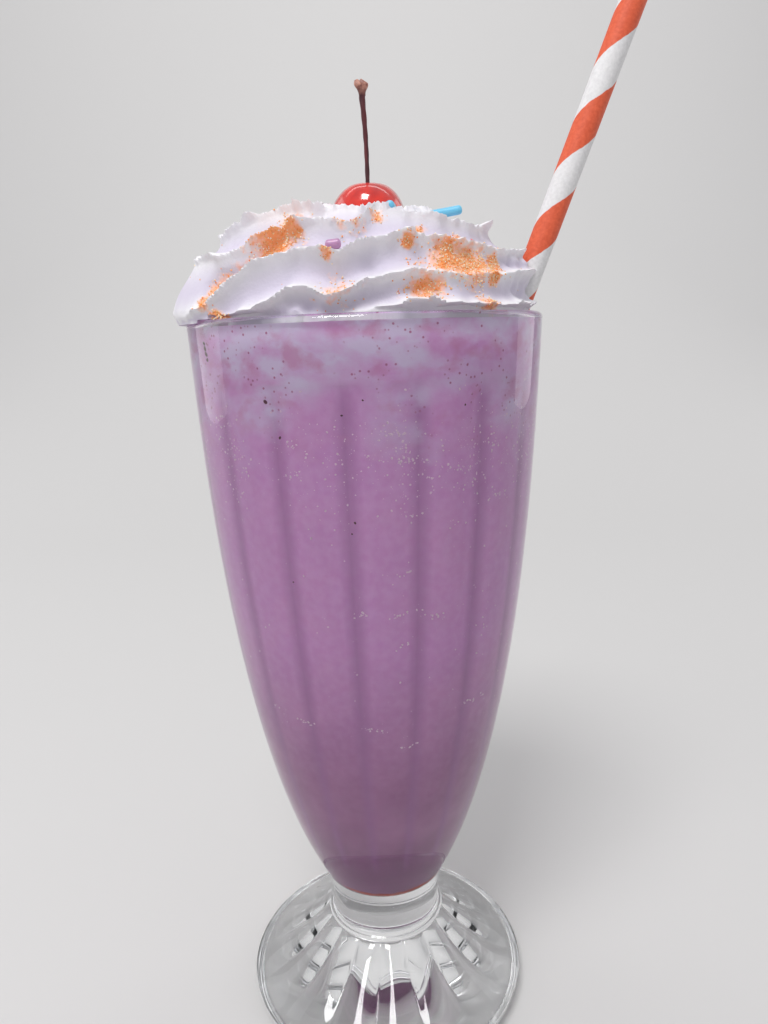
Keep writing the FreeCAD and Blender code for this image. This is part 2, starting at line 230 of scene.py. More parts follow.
def flute_depth(height):
    """Depth of the flutes at each height: none at the plain band and at the round bottom."""
    top = GLASS_HEIGHT - RIM_BAND
    fade = ease((top - height) / FLUTE_RUN) * ease((height - WELL_TOP) / FLUTE_RUN)
    return FLUTE_RATIO * fade


def lobes(azimuth, count):
    """0 at the middle of a lobe, 1 at the valley between two lobes, round in between."""
    step = 2 * math.pi / count
    off = np.abs((azimuth - FLUTE_TURN + step / 2) % step - step / 2) / (step / 2)
    return off ** 2


def flute(piece, below):
    """Press the flutes into the wall that lies under the given radius."""
    table = points_of(piece)
    radius, azimuth = polar(table)
    inside = below(table, radius)
    scale = 1 - inside * flute_depth(table[:, 2]) * lobes(azimuth, FLUTES)
    table[:, :2] *= scale[:, None]
    move_points(piece, table)


print("flutes: %d, at most %.1f %% of the radius deep" % (FLUTES, 100 * FLUTE_RATIO))

# %% [markdown]
# ## Finishes
# Every finish is a small graph of nodes. These helpers add a node, join sockets and build the noise
# that most food needs, always on the piece's own Object coordinates.

# %% Material helpers
def new_finish(name):
    """A material with only its output and one Principled shader."""
    material = bpy.data.materials.new(name)
    material.use_nodes = True
    tree = material.node_tree
    tree.nodes.clear()
    output = tree.nodes.new("ShaderNodeOutputMaterial")
    shader = tree.nodes.new("ShaderNodeBsdfPrincipled")
    tree.links.new(shader.outputs["BSDF"], output.inputs["Surface"])
    return material, tree, shader


def add(tree, kind, **properties):
    """Add a node and set its properties by name."""
    node = tree.nodes.new(kind)
    for name, value in properties.items():
        setattr(node, name, value)
    return node


def tune(node, **values):
    """Set a node's own inputs by name, so that base_color sets the input Base Color."""
    for name, value in values.items():
        node.inputs[name.replace("_", " ").title().replace("Ior", "IOR")].default_value = value
    return node


def place_on(tree):
    """The place on the piece in its Object coordinates, as a socket."""
    return add(tree, "ShaderNodeTexCoord").outputs["Object"]


def split(tree, vector):
    """The X, Y and Z outputs of a vector socket."""
    parts = add(tree, "ShaderNodeSeparateXYZ")
    tree.links.new(vector, parts.inputs["Vector"])
    return parts.outputs


print("node helpers ready")

# %% [markdown]
# A pattern is only useful once it has been pulled into shape: a range of it picked out, turned into
# colours, mixed with another, or raised as a bump. Each of these is one node and one helper.

# %% Patterns, ranges, colours and bumps
def feed(tree, source, target):
    """Link a socket to an input, or set the input where the source is a number or a colour."""
    if isinstance(source, tuple):
        target.default_value = (*source, 1.0)
    elif isinstance(source, (int, float)):
        target.default_value = source
    else:
        tree.links.new(source, target)


def noise(tree, scale, detail=3.0, stretch=(1, 1, 1)):
    """Noise on Object coordinates. The scale is in cells per metre."""
    mapping = tune(add(tree, "ShaderNodeMapping"), scale=stretch)
    texture = tune(add(tree, "ShaderNodeTexNoise"), scale=scale, detail=detail)
    tree.links.new(place_on(tree), mapping.inputs["Vector"])
    tree.links.new(mapping.outputs["Vector"], texture.inputs["Vector"])
    return texture.outputs["Fac"]


def ramp(tree, factor, stops):
    """A colour ramp from (position, colour) stops."""
    node = add(tree, "ShaderNodeValToRGB")
    elements = node.color_ramp.elements
    while len(elements) < len(stops):
        elements.new(0.5)
    for element, (position, colour) in zip(elements, stops):
        element.position = position
        element.color = (*colour, 1.0)
    tree.links.new(factor, node.inputs["Fac"])
    return node.outputs["Color"]


def level(tree, factor, low, high, to_low=0.0, to_high=1.0):
    """Map a range of a value to another range, clamped."""
    node = tune(add(tree, "ShaderNodeMapRange"), from_min=low, from_max=high, to_min=to_low,
                to_max=to_high)
    tree.links.new(factor, node.inputs["Value"])
    return node.outputs["Result"]


def blend_colours(tree, factor, first, second):
    """Mix two colours or sockets by a factor socket."""
    node = add(tree, "ShaderNodeMix", data_type="RGBA")
    tree.links.new(factor, node.inputs["Factor"])
    for socket, value in zip([s for s in node.inputs if s.type == "RGBA"], (first, second)):
        feed(tree, value, socket)
    return [s for s in node.outputs if s.type == "RGBA"][0]


def calculate(tree, operation, first, second):
    """A Math node on two sockets or numbers."""
    node = add(tree, "ShaderNodeMath", operation=operation)
    for socket, value in zip(node.inputs, (first, second)):
        feed(tree, value, socket)
    return node.outputs["Value"]


def plus(tree, first, second):
    """Add two sockets or numbers."""
    return calculate(tree, "ADD", first, second)


def times(tree, first, second):
    """Multiply two sockets or numbers."""
    return calculate(tree, "MULTIPLY", first, second)


def colour_by(tree, shader, colour):
    """Give the shader a colour that varies over the surface."""
    tree.links.new(colour, shader.inputs["Base Color"])


def bump(tree, shader, height, strength, distance):
    """Raise the surface by a height socket. Distance is in metres."""
    node = tune(add(tree, "ShaderNodeBump"), strength=strength, distance=distance)
    tree.links.new(height, node.inputs["Height"])
    tree.links.new(node.outputs["Normal"], shader.inputs["Normal"])


def dress(piece, material):
    """Give a piece its finish and its place on the body."""
    piece.data.materials.clear()
    piece.data.materials.append(material)
    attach(piece, "root")


print("pattern helpers ready")

# %% [markdown]
# ## Clear pressed glass
# Soda-lime glass is nearly colourless. What shows its shape is bending of light, so the finish is a
# plain transmitting shader with the true index, and a faint waviness that pressing leaves.

# %% Finish of the glass
def glass_finish():
    """Colourless glass that bends light, very slightly wavy."""
    material, tree, shader = new_finish("clear_pressed_glass")
    tune(shader, base_color=(0.985, 0.995, 1.0, 1.0), roughness=0.0, ior=1.5, transmission_weight=1.0)
    bump(tree, shader, noise(tree, 60.0, detail=1.0), 0.08, 0.4 * MM)
    return material


glass_material = glass_finish()
print("finish:", glass_material.name)

# %% [markdown]
# ## The glass
# The real glass is pressed in one go: an outer mould gives the smooth bowl, the neck's ring and the
# ribbed foot, and a plunger gives the fluted hollow. It could be lofted from sections, but a spun
# profile is simpler: the whole section is drawn once, spun, and then the flutes and ribs are pressed
# in by moving the vertices of the wall in and out.

# %% Draw the glass's section and spin it
AROUND = FLUTES * 24
RIM_FLAT = 0.3 * MM
RIM_ROUND = (RIM_WALL - RIM_FLAT) / 2
NECK_HEIGHT = 22.6 * MM
NECK_RING = 1.1 * MM
FOOT_RADIUS = 39.1 * MM
FOOT_EDGE = 5.6 * MM
FOOT_BEARING = 34.6 * MM
FOOT_FLARE = 1.3


def foot_curve():
    """Half outline of the foot from its bearing edge up to the neck's ring."""
    edge = [(FOOT_BEARING + (FOOT_RADIUS - FOOT_BEARING) * math.sin(a), FOOT_EDGE * (1 - math.cos(a)))
            for a in spread(0, math.pi / 2, 9)]
    rise = NECK_HEIGHT - FOOT_EDGE
    flare = [(FOOT_RADIUS - (FOOT_RADIUS - NECK_RADIUS) * share ** (1 / FOOT_FLARE),
              FOOT_EDGE + rise * share) for share in spread(0.04, 0.93, 26)]
    return edge + flare


def ring_curve():
    """The bead where the neck meets the foot."""
    return [(NECK_RADIUS + NECK_RING * math.cos(a), NECK_HEIGHT + NECK_RING * math.sin(a))
            for a in spread(-0.9, 1.35, 9)]


def glass_section():
    """The glass's whole section, from the middle of its underside round to the bottom of its hollow."""
    under = [(0, 0)] + [(r, 0) for r in spread(3 * MM, FOOT_BEARING - 1 * MM, 10)]
    shoulder = GLASS_HEIGHT - RIM_ROUND
    bowl = [(bowl_radius(z), z) for z in spread(NECK_HEIGHT + 1.6 * MM, shoulder, 58)]
    bend = [(RIM_ROUND * (1 - math.cos(a)), GLASS_HEIGHT - RIM_ROUND * (1 - math.sin(a)))
            for a in spread(math.pi / 12, math.pi / 2, 6)]
    rim = [(RIM_RADIUS - inset, z) for inset, z in bend]
    lip = [(RIM_RADIUS - RIM_WALL + inset, z) for inset, z in reversed(bend)]
    wall = [(inner_radius(z), z) for z in spread(shoulder, WELL_TOP, 62)]
    depths = [WELL_TOP - (WELL_TOP - WELL_BOTTOM) * math.sin(a) for a in spread(0.12, math.pi / 2, 14)]
    well = [(well_radius(z), z) for z in depths]
    well[-1] = (0, WELL_BOTTOM)
    return under + foot_curve() + ring_curve() + bowl + rim + lip + wall + well


glass_piece = turned("glass_body", glass_section(), AROUND)
print("glass section spun:", len(glass_piece.data.polygons), "faces")

# %% [markdown]
# ## Flutes inside, ribs on the foot
# The foot carries as many rounded ribs as the hollow has lobes. They are strongest halfway up and run
# out at the foot's edge and under the neck. The same rule of lobes presses both.

# %% Press the flutes and the ribs
HALF_WALL = 1.5 * MM
RIB_DEPTH = 2.4 * MM
RIB_CREST = 0.4 * MM
RIB_END = 0.95


def is_inner_wall(table, radius):
    """1 on the hollow's wall, 0 elsewhere."""
    outside = np.array([bowl_radius(max(z, NECK_HEIGHT)) for z in table[:, 2]])
    return (radius < outside - HALF_WALL) & (table[:, 2] > WELL_BOTTOM)


def rib_foot(piece):
    """Press the valleys between the foot's ribs, deepest halfway up."""
    table = points_of(piece)
    radius, azimuth = polar(table)
    share = (table[:, 2] - FOOT_EDGE) / (NECK_HEIGHT - FOOT_EDGE)
    on_top = (share > 0) & (share < RIB_END)
    fade = ease(share / 0.3) * (1 - 0.75 * ease((share - 0.45) / 0.55)) * on_top
    moved = radius + RIB_CREST * fade - RIB_DEPTH * fade * lobes(azimuth, FLUTES)
    scale = np.where(radius > 0, moved / np.maximum(radius, 1e-9), 1.0)
    table[:, :2] *= scale[:, None]
    move_points(piece, table)


flute(glass_piece, is_inner_wall)
rib_foot(glass_piece)
smooth_faces(glass_piece, 60)
dress(glass_piece, glass_material)
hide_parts("glass")
print("pressed: %d flutes and %d ribs" % (FLUTES, FLUTES))

# %% [markdown]
# ## The shake
# Thick shake fills the hollow and takes the shape of its flutes. Its surface is pushed a hair into
# the glass, so that light goes straight from glass to shake with no film of air between them.

# %% Colours of the shake and the heights they belong to
SHAKE_PINK = (0.68, 0.33, 0.66)
SHAKE_ROSE = (0.72, 0.37, 0.63)
SHAKE_FROTH = (0.80, 0.52, 0.80)
SHAKE_DEEP = (0.42, 0.165, 0.36)
SHAKE_LOW = (0.30, 0.13, 0.26)
# Painted shade for the flutes' valleys.
SHAKE_VALLEY_SHADE = (0.44, 0.19, 0.43)
SHAKE_PALE = (0.76, 0.67, 0.86)
SHAKE_BERRY = (0.64, 0.27, 0.50)
SHAKE_SEED = (0.46, 0.14, 0.30)
SYRUP_RED = (0.62, 0.05, 0.02)
SYRUP_SIDE = math.radians(285)

# Each colour comes in between two heights above the table.
PINK_ZONE = (35 * MM, 160 * MM)
STAIN_ZONE = (38.0 * MM, 38.8 * MM)
FROTH_ZONE = (60 * MM, 130 * MM)
BERRY_ZONE = (158 * MM, 176 * MM)
PALE_ZONE = (164 * MM, 182 * MM)
print("pale froth begins %.0f mm above the table" % (PALE_ZONE[0] / MM))

# %% [markdown]
# Colour can follow three things here: a number stored on the mesh, such as the depth of a valley, a
# pattern in space, such as seeds, or the side the place lies on. One helper is made for each.

# %% Three things that colour can follow
def attribute(tree, name):
    """A value stored on the mesh, as a socket."""
    return add(tree, "ShaderNodeAttribute", attribute_name=name).outputs["Fac"]


def dots(tree, scale, low, high):
    """Round dots in the cells of a Voronoi pattern, 1 inside a dot."""
    cells = tune(add(tree, "ShaderNodeTexVoronoi"), scale=scale)
    tree.links.new(place_on(tree), cells.inputs["Vector"])
    return level(tree, cells.outputs["Distance"], low, high, 1.0, 0.0)


def syrup_side(tree):
    """How far a place lies towards the side where the syrup shows, in metres, as a socket."""
    towards = add(tree, "ShaderNodeVectorMath", operation="DOT_PRODUCT")
    tree.links.new(place_on(tree), towards.inputs[0])
    towards.inputs[1].default_value = (math.cos(SYRUP_SIDE), math.sin(SYRUP_SIDE), 0)
    return towards.outputs["Value"]


print("syrup shows towards %.0f degrees" % math.degrees(SYRUP_SIDE))

# %% [markdown]
# The shake is coloured from the inside out: its body first, then what floats in its top, then the red
# stain along its lowest edge. Each layer is mixed over the one before.

# %% Layers of colour in the shake
def body_colour(tree, height):
    """Pink, deeper low down, with painted shade along the flutes' valleys and a fine grain of froth."""
    body = ramp(tree, level(tree, height, *PINK_ZONE),
                [(0.0, SHAKE_LOW), (0.35, SHAKE_DEEP), (0.65, SHAKE_PINK), (1.0, SHAKE_PINK)])
    clouds = noise(tree, 38.0, detail=4.0, stretch=(1, 1, 1.4))
    body = blend_colours(tree, level(tree, clouds, 0.42, 0.75, 0.0, 0.5), body, SHAKE_ROSE)
    grain = level(tree, noise(tree, 520.0, detail=2.0), 0.35, 0.70, 0.0, 0.30)
    body = blend_colours(tree, times(tree, grain, level(tree, height, *FROTH_ZONE)), body, SHAKE_FROTH)
    # Painted shade: the valleys of the flutes are darkened in the colour itself.
    valley = level(tree, attribute(tree, "valley"), 0.35, 0.95, 0.0, 0.75)
    return blend_colours(tree, valley, body, SHAKE_VALLEY_SHADE)


def top_colour(tree, height, body):
    """Cream streaks, berry blots and seeds in the top of the shake."""
    uneven = level(tree, noise(tree, 60.0, detail=5.0), 0.3, 0.7, -13 * MM, 13 * MM)
    edge = level(tree, plus(tree, height, uneven), *PALE_ZONE)
    streaks = level(tree, noise(tree, 105.0, detail=5.0, stretch=(1, 1, 1.6)), 0.36, 0.58, 0.0, 0.9)
    body = blend_colours(tree, times(tree, edge, streaks), body, SHAKE_PALE)
    near_top = level(tree, height, *BERRY_ZONE)
    berries = level(tree, noise(tree, 150.0, detail=5.0, stretch=(1, 1, 1.3)), 0.54, 0.68, 0.0, 0.75)
    body = blend_colours(tree, times(tree, berries, near_top), body, SHAKE_BERRY)
    some = level(tree, noise(tree, 120.0, detail=1.0), 0.52, 0.56)
    seeds = times(tree, times(tree, dots(tree, 720.0, 0.12, 0.24), some), near_top)
    return blend_colours(tree, seeds, body, SHAKE_SEED)


def shake_colour(tree):
    """The shake's whole colour, with the red stain where the syrup has crept up its lowest edge."""
    height = split(tree, place_on(tree))["Z"]
    body = top_colour(tree, height, body_colour(tree, height))
    ragged = level(tree, noise(tree, 400.0, detail=2.0), 0.3, 0.7, -0.4 * MM, 0.4 * MM)
    stained = level(tree, plus(tree, height, ragged), *STAIN_ZONE, 1.0, 0.0)
    stained = times(tree, stained, level(tree, syrup_side(tree), 5.0 * MM, 8.0 * MM))
    return blend_colours(tree, stained, body, SYRUP_RED)


# %% Finish of the shake
def shake_finish():
    """Thick pink drink: nearly matte, with light scattering a little way in."""
    material, tree, shader = new_finish("pink_shake")
    colour_by(tree, shader, shake_colour(tree))
    tune(shader, roughness=0.55, subsurface_weight=0.35, subsurface_radius=(0.9, 0.6, 0.7),
         subsurface_scale=3 * MM)
    bump(tree, shader, noise(tree, 900.0, detail=2.0), 0.15, 0.3 * MM)
    return material


shake_material = shake_finish()
print("finish:", shake_material.name, "with", len(shake_material.node_tree.nodes), "nodes")

# %% [markdown]
# ## What fills the hollow
# Shake, syrup and the cream in the rim all take the hollow's form between two heights. It could be
# cut from the glass with a Boolean, but the same curves that made the hollow are cleaner: the section
# is spun a hair wider than the wall, and then fluted like it. The depth of each valley is stored on
# the mesh, and the finish reads it there to paint shade along the valleys.

# %% Fill the glass with shake
INTO_WALL = 0.12 * MM
SHAKE_TOP = GLASS_HEIGHT - 14.0 * MM
SYRUP_TOP = 37.0 * MM


def filled(name, low, high, rows):
    """A body that fills the hollow between two heights."""
    def at(z):
        return (inner_radius(z) if z >= WELL_TOP else well_radius(z)) + INTO_WALL

    section = [(0, low)]
    first = low + 0.3 * MM
    if low > WELL_BOTTOM:
        first = low
        section += [(at(low) * k / 4, low) for k in (1, 2, 3)]
    section += [(at(z), z) for z in spread(first, high, rows)]
    section += [(at(high) * k / 4, high) for k in (3, 2, 1)] + [(0, high)]
    piece = turned(name, section, AROUND // 2)
    flute(piece, lambda table, radius: radius > 0.8 * np.array([at(max(z, low)) for z in table[:, 2]]))
    table = points_of(piece)
    # Depth of the valleys, which drives the painted shade in the finish.
    valley = lobes(polar(table)[1], FLUTES) * flute_depth(table[:, 2]) / FLUTE_RATIO
    store(piece, "valley", valley)
    smooth_faces(piece, 50)
    print(name + ":", len(piece.data.polygons), "faces")
    return piece


shake_piece = filled("pink_shake_body", SYRUP_TOP, SHAKE_TOP, 90)
dress(shake_piece, shake_material)
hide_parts("milkshake")

# %% [markdown]
# ## Syrup under the shake
# A spoon of red syrup sinks to the round bottom. It is a small turned body like the shake's own.

# %% Syrup
def syrup_finish():
    """Wet red syrup where it has pooled, and the shake's deep pink elsewhere."""
    material, tree, shader = new_finish("red_syrup")
    thickness = noise(tree, 260.0, detail=2.0)
    red = ramp(tree, thickness, [(0.35, (0.45, 0.02, 0.008)), (0.65, (0.80, 0.09, 0.03))])
    pooled = level(tree, syrup_side(tree), 7.0 * MM, 9.0 * MM)
    colour_by(tree, shader, blend_colours(tree, pooled, SHAKE_LOW, red))
    tune(shader, roughness=0.12, coat_weight=0.6)
    return material


syrup_piece = filled("red_syrup_body", WELL_BOTTOM, SYRUP_TOP, 12)
dress(syrup_piece, syrup_finish())
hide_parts("syrup")

# %% [markdown]
# ## Piped cream: the form
# Cream from a star nozzle is laid as one rope that winds up in a few turns. Each turn ends in a thin
# torn lip with a ledge above it. Sculpting that by hand would take hours, so a plain dome is spun and
# every point is pushed to its place on the rope, which two numbers give: how far round it is and how
# far up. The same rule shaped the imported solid, and here it gets its fine torn edges as well.

# %% Sizes of the heap and the path of the rope
CREAM_FILL_TOP = GLASS_HEIGHT - 1.5 * MM
CREAM_ROOT = CREAM_FILL_TOP - 2.3 * MM
CREAM_RISE = 29.0 * MM
CREAM_FOLD = 3.2 * MM
CREAM_POWER = 2 / 2.4
CREAM_INSET = 0.5 * MM
CREAM_TILT = 0.035
CREAM_OVERHANG = 6.5 * MM
OVERHANG_BOTTOM = GLASS_HEIGHT - 0.7 * MM
OVERHANG_TUCK = 2.2 * MM
OVERHANG_WAIST = 3.0 * MM
CLUMP_BULGE = 2.6 * MM
NEST_DEPTH = 3.3 * MM
LEDGE_SHARE = 0.42

# Where the heap departs from an even rope: degrees round from the right and their spread, then share
# of the climb and its spread.
OVERHANG = (188, 40)
WAIST = (0.42, 0.15)
SUGARED = (305, 13, 0.26, 0.10)
PETAL = (195, 24, 0.10, 0.17)
CLUMP = (343, 10, 0.27, 0.11)

# The rope's lip, turn after turn: degrees round from the right, and share of the climb to the top.
ROPE_TURNS = 6
ROPE = [(200, -0.02), (265, 0.03), (284, 0.095), (300, 0.07), (360, 0.09),
        (450, 0.12), (520, 0.06), (585, 0.03), (601, 0.09), (611, 0.15), (622, 0.10), (629, 0.15),
        (643, 0.21), (653, 0.19), (690, 0.22), (720, 0.24),
        (810, 0.27), (870, 0.20), (925, 0.03), (938, 0.10), (952, 0.22), (960, 0.295),
        (977, 0.315), (981, 0.29), (995, 0.36), (1004, 0.415), (1009, 0.375), (1030, 0.37),
        (1050, 0.335), (1064, 0.335), (1080, 0.40),
        (1170, 0.47), (1230, 0.46), (1280, 0.33), (1302, 0.31), (1320, 0.44), (1328, 0.49),
        (1341, 0.48), (1347, 0.45), (1352, 0.56), (1356, 0.63), (1361, 0.62), (1372, 0.57),
        (1383, 0.56), (1396, 0.51), (1440, 0.54),
        (1530, 0.60), (1600, 0.56), (1642, 0.46), (1658, 0.52), (1668, 0.62), (1690, 0.68),
        (1712, 0.70), (1750, 0.76), (1800, 0.80), (1890, 0.85), (1980, 0.90), (2160, 0.97)]
print("rope of cream: %d turns, heap %.0f mm high" % (ROPE_TURNS, CREAM_RISE / MM))

# %% [markdown]
# Two small shapes do most of the work from here on: a bell, which picks out a place on the heap, and
# a bell that closes round it. Whatever is special somewhere is multiplied by one of them.

# %% Bells and waves round the heap
def wrap(angle):
    """An angle as -pi to pi."""
    return (angle + math.pi) % (2 * math.pi) - math.pi


def bell(value, middle, width):
    """1 at the middle, fading smoothly to 0 about twice the width away."""
    return np.exp(-((value - middle) / width) ** 2)


def around(azimuth, degrees, width):
    """A bell over the azimuth, in degrees, that closes round the heap."""
    return bell(np.degrees(wrap(azimuth - math.radians(degrees))), 0, width)


def near_place(azimuth, share, place):
    """1 at a place given by its degrees, their spread, its share of the climb and that spread."""
    return around(azimuth, *place[:2]) * bell(share, *place[2:])


def ripple(azimuth, share, waves, seed):
    """Smooth uneven waves that close round the heap, between about -1 and 1."""
    draw = np.random.default_rng(seed)
    total = np.zeros_like(azimuth)
    for count in waves:
        total += np.sin(count * azimuth + draw.uniform(0, 6.28) + draw.uniform(-9, 9) * share)
    return total / math.sqrt(len(waves))


# %% [markdown]
# The rope is stored as one long path, turn after turn. At each direction the lips of all the turns lie
# above one another, so a place between two of them belongs to the upper one's turn.

# %% The turns of the rope
def cream_reach(azimuth):
    """Radius of the heap at the brim: inside the rim, but out over it on the left."""
    inside = RIM_RADIUS - RIM_WALL - CREAM_INSET
    return inside + CREAM_OVERHANG * around(azimuth, *OVERHANG)


def lip_share(azimuth, turn):
    """Share of the climb where this turn's lip runs, with small random wander."""
    degrees = np.degrees(azimuth % (2 * math.pi)) + 360 * turn
    places, shares = zip(*ROPE)
    smooth_share = sum(np.interp(degrees + off, places, shares) for off in (-2.4, -0.8, 0.8, 2.4)) / 4
    return smooth_share + 0.006 * np.sin(0.31 * degrees + turn) + 0.004 * np.sin(0.83 * degrees)


def rope_turn(share, azimuth):
    """Which turn of the rope covers this place, how far across it the place is, and the turn's width."""
    below = np.full_like(share, -0.12)
    turn, across, width = np.zeros_like(share), np.zeros_like(share), np.full_like(share, 0.1)
    for number in range(ROPE_TURNS):
        lip = np.maximum(lip_share(azimuth, number), below + 0.02)
        inside = (share >= below) & (share < lip)
        turn = np.where(inside, number, turn)
        across = np.where(inside, (share - below) / (lip - below), across)
        width = np.where(inside, lip - below, width)
        below = lip
    return turn, across, width


def fold(across):
    """Across one turn: a ledge falls back from the lip below, then a band rises to the next lip."""
    ledge = np.clip(1 - across / LEDGE_SHARE, 0, 1) ** 1.7
    band = np.clip((across - LEDGE_SHARE) / (1 - LEDGE_SHARE), 0, 1) ** 2.0
    return ledge + band


print("cream reaches %.1f mm on the right and %.1f mm on the left"
      % tuple(cream_reach(np.radians([0.0, 188.0])) / MM))

# %% [markdown]
# ## Torn edges
# Cream tears as it leaves the nozzle, so every lip ends in small uneven teeth. A random height for
# each tooth, eased into its neighbour's, makes them. Several rows of different fineness are added.

# %% Teeth and the streak's groove
def torn(azimuth, seed, count):
    """Random teeth round the heap, 0 to 1: mostly low, some tall."""
    teeth = np.random.default_rng(seed).uniform(0, 1, count) ** 2.2
    at = (azimuth % (2 * math.pi)) / (2 * math.pi) * count
    first = np.floor(at).astype(int) % count
    part = ease(at - np.floor(at))
    return teeth[first] * (1 - part) + teeth[(first + 1) % count] * part


def torn_lip(azimuth, turn):
    """Height of the torn edge of each turn's lip: mostly under 1, at most about 3."""
    total = np.zeros_like(azimuth)
    for number in range(ROPE_TURNS + 1):
        edge = 0.8 * torn(azimuth, 40 + number, 190) + 0.7 * torn(azimuth, 60 + number, 67)
        edge += 1.1 * torn(azimuth, 80 + number, 46) * around(azimuth, 190, 50)
        edge *= 0.45 + 1.5 * torn(azimuth, 100 + number, 19)
        total = np.where(turn == number, edge, total)
    return total


# The streak of syrup that ran up the left of the heap: shares of the climb and degrees along it.
STREAK_SHARES = (0.08, 0.20, 0.25, 0.29, 0.35, 0.42, 0.58)
STREAK_DEGREES = (217, 219, 223, 231, 236, 239, 238)


def streak(share, azimuth, width):
    """1 along the groove that runs up the left of the heap, 0 away from it."""
    degrees = np.degrees(azimuth % (2 * math.pi))
    off = degrees - np.interp(share, STREAK_SHARES, STREAK_DEGREES)
    return bell(off, 0, width) * ease((share - 0.04) / 0.08) * ease((0.66 - share) / 0.10)


print("streak passes %d points" % len(STREAK_SHARES))

# %% [markdown]
# ## Every point's place on the heap
# The dome gives the plain place of a point. What the rope, the teeth, the lumps and the streak add
# lifts the point off it, outwards low down and more upwards near the top. The cherry's nest is
# pressed in last.

# %% From share and direction to a place
def lift_of(share, azimuth):
    """How far the heap stands off its plain dome, with how near a lip and how far out of a hollow."""
    fade = ease((share - 0.02) / 0.07) * ease((1 - share) / 0.25)
    turn, across, width = rope_turn(share, azimuth)
    sugared = near_place(azimuth, share, SUGARED)
    petal = near_place(azimuth, share, PETAL)
    depth = CREAM_FOLD * fade * np.minimum(1.15, width / 0.16)
    depth *= (1 - 0.75 * sugared) * (1 - 0.85 * petal)
    depth *= 1 - 0.45 * np.maximum(around(azimuth, 170, 45), around(azimuth, 10, 50))
    out = fold(across)
    lift = depth * (out - 0.42)
    above = np.where(across < 0.5, turn - 1, turn)
    from_lip = np.where(across < 0.5, across, 1 - across) * width
    edge = np.exp(-(from_lip / 0.012) ** 2) * fade * (1 - sugared)
    tooth = (0.9 + 0.7 * ease((share - 0.3) / 0.2)) * MM
    lift += edge * (1 - 0.8 * petal) * torn_lip(azimuth, above) * tooth
    lift += 0.30 * MM * fade * ripple(azimuth, share, (9, 14, 17, 23), 3)
    lift += CLUMP_BULGE * near_place(azimuth, share, CLUMP)
    lumps = np.sin(41 * azimuth + 30 * share) * np.sin(55 * share - 17 * azimuth)
    lift += 0.6 * MM * lumps * near_place(azimuth, share, (340, 13, 0.22, 0.16))
    lift += 0.8 * MM * lumps * near_place(azimuth, share, (250, 10, 0.06, 0.035))
    lift += 1.5 * MM * near_place(azimuth, share, (299, 6, 0.10, 0.06))
    lift -= 1.3 * MM * streak(share, azimuth, 3.5)
    return lift, edge, out


def cream_place(share, azimuth):
    """The point of the heap at this place, with how near a lip and how far out of a hollow it is."""
    climb = np.radians(90 * share)
    tuck = OVERHANG_TUCK * ease(1 - share / 0.1) + OVERHANG_WAIST * bell(share, *WAIST)
    radius = cream_reach(azimuth) * np.cos(climb) ** CREAM_POWER - tuck * around(azimuth, *OVERHANG)
    height = CREAM_RISE * (1 - CREAM_TILT * np.cos(azimuth)) * np.sin(climb) ** CREAM_POWER
    lift, edge, out = lift_of(share, azimuth)
    radius = radius + lift * np.minimum(1.0, 1.15 * np.cos(climb))
    height = height + lift * (0.20 + 0.45 * np.sin(climb))
    x, y = radius * np.cos(azimuth), radius * np.sin(azimuth)
    nest = bell(x, -2 * MM, 12 * MM) * bell(y, -15 * MM, 8 * MM)
    height = height - NEST_DEPTH * nest * (1 - 0.7 * bell(x, 4.0 * MM, 2.2 * MM))
    return x, y, CREAM_ROOT + height, edge, out


peak = cream_place(np.array([0.999]), np.array([0.0]))[2][0]
print("heap's middle %.1f mm above the rim" % ((peak - GLASS_HEIGHT) / MM))

# %% [markdown]
# ## Syrup and sugar on the cream
# Orange syrup and sugar lie in a few blots and in the streak. One function says how strong they are
# at a place. The finish takes its colour from it and the grains take their chance of lying there.

# %% Where syrup and sugar lie
# Blots of syrup: degrees round, share of the climb, radius in degrees, strength.
BLOTS = [(244, 0.45, 4.0, 1.1), (259, 0.29, 2.2, 1.0), (277, 0.57, 3.5, 0.8), (285, 0.365, 2.5, 1.2),
         (294, 0.49, 2.5, 1.0), (297, 0.42, 2.5, 1.0), (312, 0.44, 3.0, 0.8), (265, 0.50, 7.0, 0.7),
         (217, 0.12, 2.5, 1.6), (222, 0.055, 3.0, 1.5), (311, 0.075, 4.0, 0.9), (322, 0.28, 4.0, 1.5),
         (316, 0.20, 3.0, 1.4), (262, 0.14, 6.0, 0.55), (333, 0.40, 4.0, 0.7), (299, 0.33, 4.0, 1.4),
         (40, 0.42, 9.0, 0.9), (75, 0.62, 8.0, 0.8), (105, 0.30, 11.0, 0.8), (140, 0.48, 7.0, 0.9),
         (160, 0.22, 5.0, 0.7), (20, 0.20, 6.0, 0.6)]
SHARE_WIDTH = 0.011


def stain_at(share, azimuth):
    """Strength of the orange syrup on the heap, 0 to about 1.5."""
    wide = 3.2 + 4.4 * ease((share - 0.22) / 0.15)
    total = (0.66 + 0.40 * ease((share - 0.28) / 0.12)) * streak(share, azimuth, wide)
    total = np.maximum(total, 1.1 * near_place(azimuth, share, (305, 15, 0.27, 0.10)))
    total = np.maximum(total, 0.9 * near_place(azimuth, share, (289, 7, 0.145, 0.055)))
    for degrees, middle, size, strength in BLOTS:
        spot = near_place(azimuth, share, (degrees, size, middle, size * SHARE_WIDTH))
        total = np.maximum(total, strength * spot)
    return total


print("blots of syrup:", len(BLOTS))

# %% [markdown]
# ## From dome to heap
# A unit dome is spun with a flat underside, and each point's height and direction on it say which
# place on the rope it becomes. Where the heap meets the glass, the points are held inside the rim, or
# laid on top of it on the side where the cream runs over.

# %% Spin a dome and push it onto the rope
HEAP_AROUND = 720
HEAP_UP = 126
RIM_INSIDE = RIM_RADIUS - RIM_WALL - 0.2 * MM
RIM_OUTSIDE = RIM_RADIUS + 0.15 * MM
RIM_REST = GLASS_HEIGHT + 0.05 * MM


